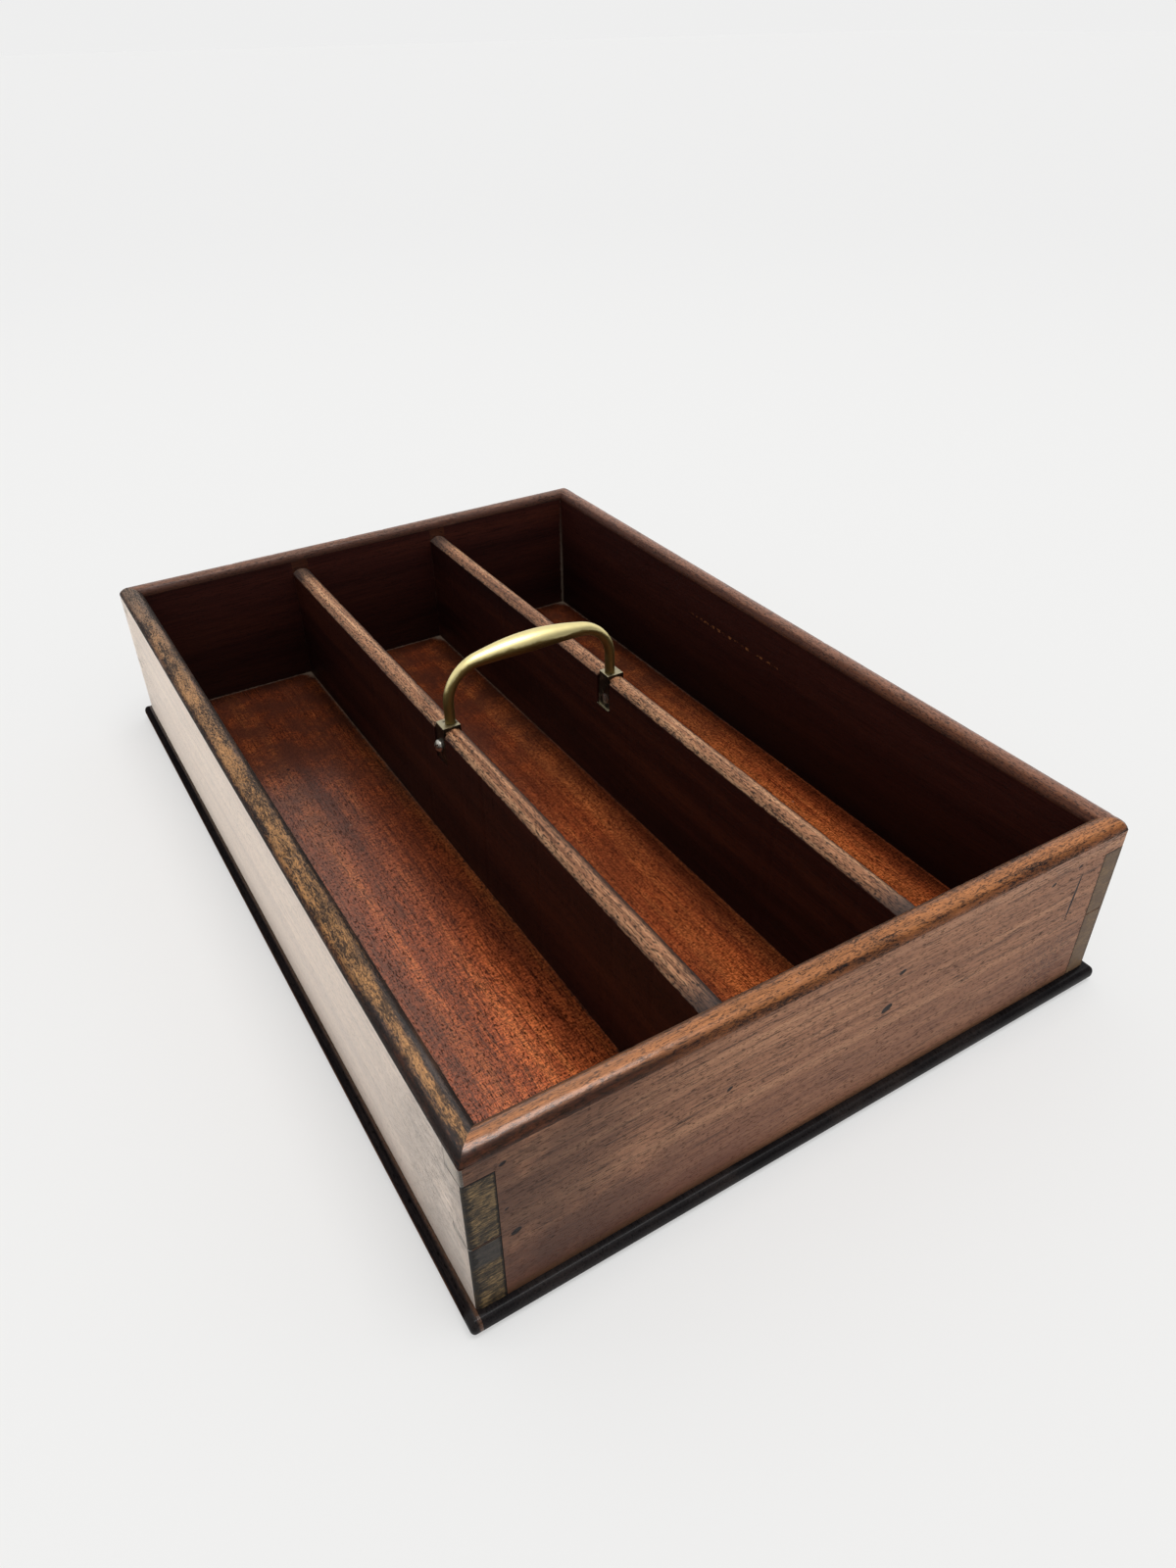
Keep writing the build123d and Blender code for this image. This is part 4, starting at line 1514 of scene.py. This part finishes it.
@dataclass
class Dividers:
    """Two dividers whose rounded tops are rubbed and nicked.

    Attributes:
        middle_x: Distance of their middle planes from the tray's.
        half: Half their thickness.
        arris_z: Height at which the rounded top begins.
        set_back: How far behind the tray's middle the saddles stand.
        notch_half: Half the length along a saddle that is left as it is.
        free_half: Half the length that is worn.
        station_mm: Length of the faces along the top.
        rub: Greatest depth of the general wear.
        nick: Depth of the nicks.
        nick_free: Level of the noise over which there is a nick.
    """

    middle_x: float = DIVIDER_X
    half: float = DIVIDER_HALF
    arris_z: float = ARRIS_Z
    set_back: float = SET_BACK
    notch_half: float = 7.0
    free_half: float = 178.0
    station_mm: float = 1.4
    rub: float = 0.12
    nick: float = 0.55
    nick_free: float = 0.22

    def worn(self, point: Vector, middle: float) -> Vector:
        """Move a point of the rounded top in.

        Args:
            point: Place in millimetres.
            middle: The divider's middle plane.

        Returns:
            The moved point.
        """
        if point.z < self.arris_z - 0.1 or abs(point.y - self.set_back) < self.notch_half:
            return point
        off = point.x - middle
        rough = noise.noise(Vector((off * 0.1, point.y * 0.06, 3.0 + middle)))
        chip = noise.noise(Vector((off * 0.25, point.y * 0.30, 9.0 + middle))) - self.nick_free
        side = min(abs(off) / self.half, 1.0) ** 2
        depth = self.rub * (0.6 + 0.4 * rough) + max(0.0, chip) * self.nick * (0.35 + 1.5 * side)
        return point + Vector((-math.copysign(depth * side, off), 0, -depth * (1 - 0.4 * side)))

    def divider(self, node: str, middle: float) -> None:
        """Build one divider.

        Args:
            node: The CAD node that it stands for.
            middle: Its middle plane, in millimetres.
        """
        mesh = node_mesh(node)
        count = round(2 * self.free_half / self.station_mm)
        for index in range(count + 1):
            along = self.free_half * (2 * index / count - 1)
            if abs(along - self.set_back) > self.notch_half:
                everything = [*mesh.verts, *mesh.edges, *mesh.faces]
                bmesh.ops.bisect_plane(mesh, geom=everything, plane_co=(0, along * MM, 0),
                                       plane_no=(0, 1, 0))
        for vert in mesh.verts:
            if abs(vert.co.y) < (self.free_half - TOUCH) * MM:
                vert.co = self.worn(vert.co / MM, middle) * MM
        wood = DividerFinish(f"{node}_wood", middle).material()
        dressed(linked(f"{node}_worn", mesh, 42.0), [wood], "divider_wood", node)

    def build(self) -> None:
        """Build both dividers."""
        for name, side in (("left", -1), ("right", 1)):
            self.divider(f"divider_{name}", side * self.middle_x)


@dataclass
class Handle:
    """Swelling brass bail on two saddles, each held by a pair of slotted screws.

    Attributes:
        plate_top: Top of the saddles' plates, where the legs stand.
        set_back: How far behind the tray's middle the bail stands.
        leg_x: Distance of a leg from the tray's middle.
        leg_diameter: Diameter of a leg.
        rise: Height of the grip's centre line over the plates.
        bend: Radius of the two bends.
        arch: Radius of the grip's shallow arch.
        grip_width: Width of the grip's middle.
        grip_thickness: Its thickness.
        swell_reach: Distance from the middle at which the grip is as thin as a leg.
        crease: Power that draws the grip's section to a faint edge in front and behind; 1 is an ellipse.
        tenon_diameter: Diameter of the tenons.
        tenon_length: Length of the tenons.
        stations: Spans along the bail.
        points: Points round it.
        hammer: Depth of the hammer marks.
        arris: Width of the rounding of the saddles' edges; the screws have half of it.
    """

    plate_top: float = 67.6
    set_back: float = SET_BACK
    leg_x: float = 38.1
    leg_diameter: float = 4.4
    rise: float = 26.2
    bend: float = 16.5
    arch: float = 185.0
    grip_width: float = 9.8
    grip_thickness: float = 8.6
    swell_reach: float = 41.0
    crease: float = 1.14
    tenon_diameter: float = 2.8
    tenon_length: float = 1.16
    stations: int = 120
    points: int = 40
    hammer: float = 0.05
    arris: float = 0.24

    def centre_line(self, run: float) -> tuple[Vector, Vector]:
        """Point and direction on the bail's centre line.

        Args:
            run: Distance along it from the middle of the grip, in millimetres, positive to the right.

        Returns:
            Place and direction.
        """
        side = 1 if run >= 0 else -1
        far = abs(run)
        arch_z = self.plate_top + self.rise - self.arch
        angle = math.asin((self.leg_x - self.bend) / (self.arch - self.bend))
        arch_run = self.arch * angle
        bend_run = self.bend * (math.pi / 2 - angle)
        bend_z = arch_z + (self.arch - self.bend) * math.cos(angle)
        if far <= arch_run:
            turn = far / self.arch
            place = (self.arch * math.sin(turn), arch_z + self.arch * math.cos(turn))
        elif far <= arch_run + bend_run:
            turn = angle + (far - arch_run) / self.bend
            place = (self.leg_x - self.bend + self.bend * math.sin(turn),
                     bend_z + self.bend * math.cos(turn))
        else:
            turn = math.pi / 2
            place = (self.leg_x, bend_z - (far - arch_run - bend_run))
        return (Vector((side * place[0], self.set_back, place[1])),
                Vector((math.cos(turn), 0, -side * math.sin(turn))))

    def half_length(self) -> float:
        """Measure the centre line.

        Returns:
            Its length from the middle of the grip to the foot of a leg.
        """
        angle = math.asin((self.leg_x - self.bend) / (self.arch - self.bend))
        bend_z = self.plate_top + self.rise - self.arch + (self.arch - self.bend) * math.cos(angle)
        return self.arch * angle + self.bend * (math.pi / 2 - angle) + bend_z - self.plate_top

    def ring(self, run: float, thin: float = 1.0) -> list[Vector]:
        """One section of the bail.

        Args:
            run: Distance along the centre line.
            thin: Scale of the section.

        Returns:
            Its points, in millimetres.
        """
        place, direction = self.centre_line(run)
        swell = (1 + math.cos(math.pi * min(abs(run) / self.swell_reach, 1))) / 2
        wide = (self.leg_diameter + (self.grip_width - self.leg_diameter) * swell) / 2
        high = (self.leg_diameter + (self.grip_thickness - self.leg_diameter) * swell) / 2
        power = 1 + (self.crease - 1) * swell
        up = direction.cross(Vector((0, 1, 0))).normalized() * -1
        points = []
        for index in range(self.points):
            angle = 2 * math.pi * index / self.points
            lift = math.copysign(abs(math.sin(angle)) ** power, math.sin(angle))
            point = place + (Vector((0, wide * math.cos(angle), 0)) + up * (high * lift)) * thin
            depth = self.hammer * (0.5 + 0.5 * noise.noise(point * 0.16))
            points.append(point + (place - point).normalized() * depth)
        return points

    def bail(self) -> bpy.types.Object:
        """Build the bail, with a tenon below each leg.

        Returns:
            The bail.
        """
        half = self.half_length()
        runs = [half * (2 * index / self.stations - 1) for index in range(self.stations + 1)]
        rings = [self.ring(run) for run in runs]
        thin = self.tenon_diameter / self.leg_diameter
        drop = Vector((0, 0, -self.tenon_length))
        for run in (-half, half):
            neck = self.ring(run, thin)
            foot = [point + drop for point in neck]
            rings = [foot, neck, *rings] if run < 0 else [*rings, neck, foot]
        return grid_mesh("bail_grip", [[point * MM for point in ring] for ring in rings])

    def build(self) -> None:
        """Build the bail, both saddles and their screws."""
        dressed(self.bail(), [BAIL_BRASS.material()], "handle_brass", "handle_bail")
        body, edge, steel = SADDLE_BRASS.material(), SADDLE_EDGE.material(), SCREW_STEEL.material()
        for node, slot, finishes, width in (
                ("saddle_left", "saddle_brass", (body, edge), self.arris),
                ("saddle_right", "saddle_brass", (body, edge), self.arris),
                ("saddle_screws_round", "saddle_screw_steel", (steel, steel), self.arris / 2),
                ("saddle_screws_flat", "saddle_screw_steel", (steel, steel), self.arris / 2)):
            mesh = node_mesh(node)
            rounded_over(mesh, lambda start, end: True, width, 2, 1)
            dressed(linked(f"{node}_worn", mesh), finishes, slot, node)


# ------------------------------------------------------------------ studio
@dataclass
class Studio:
    """Pale floor and backdrop, soft light, and the camera.

    Attributes:
        eye: Place of the camera in millimetres.
        azimuth: Its direction round the tray in degrees, 0 looking along +Y.
        elevation: Its height over the floor in degrees.
        roll: Its roll in degrees.
        focal_px: Focal length in pixels.
        frame_height_px: Height of the picture.
        sensor: Long side of the sensor in millimetres.
        floor_reach: Half the floor's width in metres.
        floor_z: Its height in metres, just below the tray.
        near_grey: Colour of the floor by the tray.
        far_grey: Its colour far off.
        glow: Light that the floor gives by itself.
        warmth: Share of blue in its greys.
        backdrop: Grey of the backdrop.
        ambient: Strength of the even light.
        dim_side: Strength of the room's dim side, as polish shows it.
        lamps: Name, direction, strength and width of each lamp.
    """

    eye: Point = (-180.05, -343.9, 301.0)
    azimuth: float = -30.84
    elevation: float = 35.67
    roll: float = -0.86
    focal_px: float = 1101.0
    frame_height_px: float = 1600.0
    sensor: float = 36.0
    floor_reach: float = 14.0
    floor_z: float = -0.0002
    near_grey: float = 0.44
    far_grey: float = 0.41
    glow: float = 0.41
    warmth: float = 0.993
    backdrop: float = 0.858
    ambient: float = 0.70
    dim_side: float = 0.22
    lamps: tuple[tuple[str, Point, float, float], ...] = (("key", (0.08, -0.10, 0.97), 1.35, 36.0),
                                                          ("fill", (-0.2, -1.0, 0.7), 0.25, 70.0))

    def camera(self) -> None:
        """Place the camera."""
        data = bpy.data.cameras.new("camera")
        data.sensor_width = self.sensor
        data.lens = self.focal_px / self.frame_height_px * self.sensor
        data.clip_start, data.clip_end = 0.01, 60.0
        camera = bpy.data.objects.new("camera", data)
        bpy.context.scene.collection.objects.link(camera)
        angles = (self.azimuth, self.elevation, self.roll)
        azimuth, elevation, roll = (math.radians(angle) for angle in angles)
        back = Vector((math.sin(azimuth) * math.cos(elevation), -math.cos(azimuth) * math.cos(elevation),
                       math.sin(elevation)))
        level = Vector((math.cos(azimuth), math.sin(azimuth), 0))
        upright = back.cross(level)
        right = level * math.cos(roll) + upright * math.sin(roll)
        up = upright * math.cos(roll) - level * math.sin(roll)
        turn = Matrix((right, up, back)).transposed().to_4x4()
        camera.matrix_world = Matrix.Translation(Vector(self.eye) * MM) @ turn
        bpy.context.scene.camera = camera

    def floor(self) -> None:
        """Lay the floor."""
        reach = self.floor_reach
        mesh = bmesh.new()
        corners = ((-reach, -reach), (reach, -reach), (reach, reach), (-reach, reach))
        mesh.faces.new([mesh.verts.new((x, y, self.floor_z)) for x, y in corners])
        floor = linked("floor", mesh)
        graph = Graph("floor_paper", {"Specular IOR Level": 0.1, "Emission Strength": 1.0,
                                      "Emission Color": (self.glow, self.glow, self.glow * self.warmth, 1.0)})
        tone = graph.blotches(0.002, 1.0)
        distance = (graph.x * graph.x + graph.y * graph.y) ** 0.5
        near, far = (self.near_grey, self.near_grey, self.near_grey * self.warmth), (self.far_grey,) * 3
        colour = graph.mix(distance.step(350.0, 1900.0), near, far)
        floor.data.materials.append(graph.finish(colour, 0.9, tone, 0.01))

    def world(self) -> None:
        """Plain backdrop for the camera, even light, and for polish a room that is dim on the near side."""
        world = bpy.data.worlds.new("studio")
        world.use_nodes = True
        bpy.context.scene.world = world
        tree = Tree(world.node_tree)
        path = tree.node("ShaderNodeLightPath", {}, {})
        seen, glossy = (Signal(tree, path.outputs[name]) for name in ("Is Camera Ray", "Is Glossy Ray"))
        direction = tree.node("ShaderNodeTexCoord", {}, {})
        _, back, up = tree.parts(Signal(tree, direction.outputs["Generated"]))
        room = up.step(0.45, 0.85).most(back.step(-0.45, 0.05)) * (1 - self.dim_side) + self.dim_side
        even = seen + (1 - seen) * (glossy * room + (1 - glossy) * self.ambient)
        grey = self.backdrop
        values = {"Color": (grey, grey, grey * 0.998, 1.0), "Strength": even}
        light = tree.node("ShaderNodeBackground", {}, values)
        output = tree.node("ShaderNodeOutputWorld", {}, {})
        tree.tree.links.new(light.outputs[0], output.inputs["Surface"])

    def lamp(self, name: str, towards: Point, strength: float, spread: float) -> None:
        """Add a distant soft lamp.

        Args:
            name: Name of the lamp.
            towards: Direction from the tray to the lamp.
            strength: Strength at the tray.
            spread: Width of the lamp as the tray sees it, in degrees.
        """
        data = bpy.data.lights.new(name, "SUN")
        data.energy = strength
        data.angle = math.radians(spread)
        lamp = bpy.data.objects.new(name, data)
        lamp.rotation_mode = "QUATERNION"
        lamp.rotation_quaternion = Vector(towards).to_track_quat("Z", "Y")
        bpy.context.scene.collection.objects.link(lamp)

    def build(self) -> None:
        """Build the studio."""
        self.camera()
        self.floor()
        self.world()
        for lamp in self.lamps:
            self.lamp(*lamp)
        bpy.context.scene.view_settings.view_transform = "Standard"


def main() -> None:
    """Build the tray's pieces and the studio."""
    logging.basicConfig(level=logging.INFO, format="%(name)s: %(message)s")
    for assembly in (Carcase(), Rim(), Dividers(), Handle(), Studio()):
        LOG.info("building %s", type(assembly).__name__)
        assembly.build()


if __name__ == "__main__":
    main()
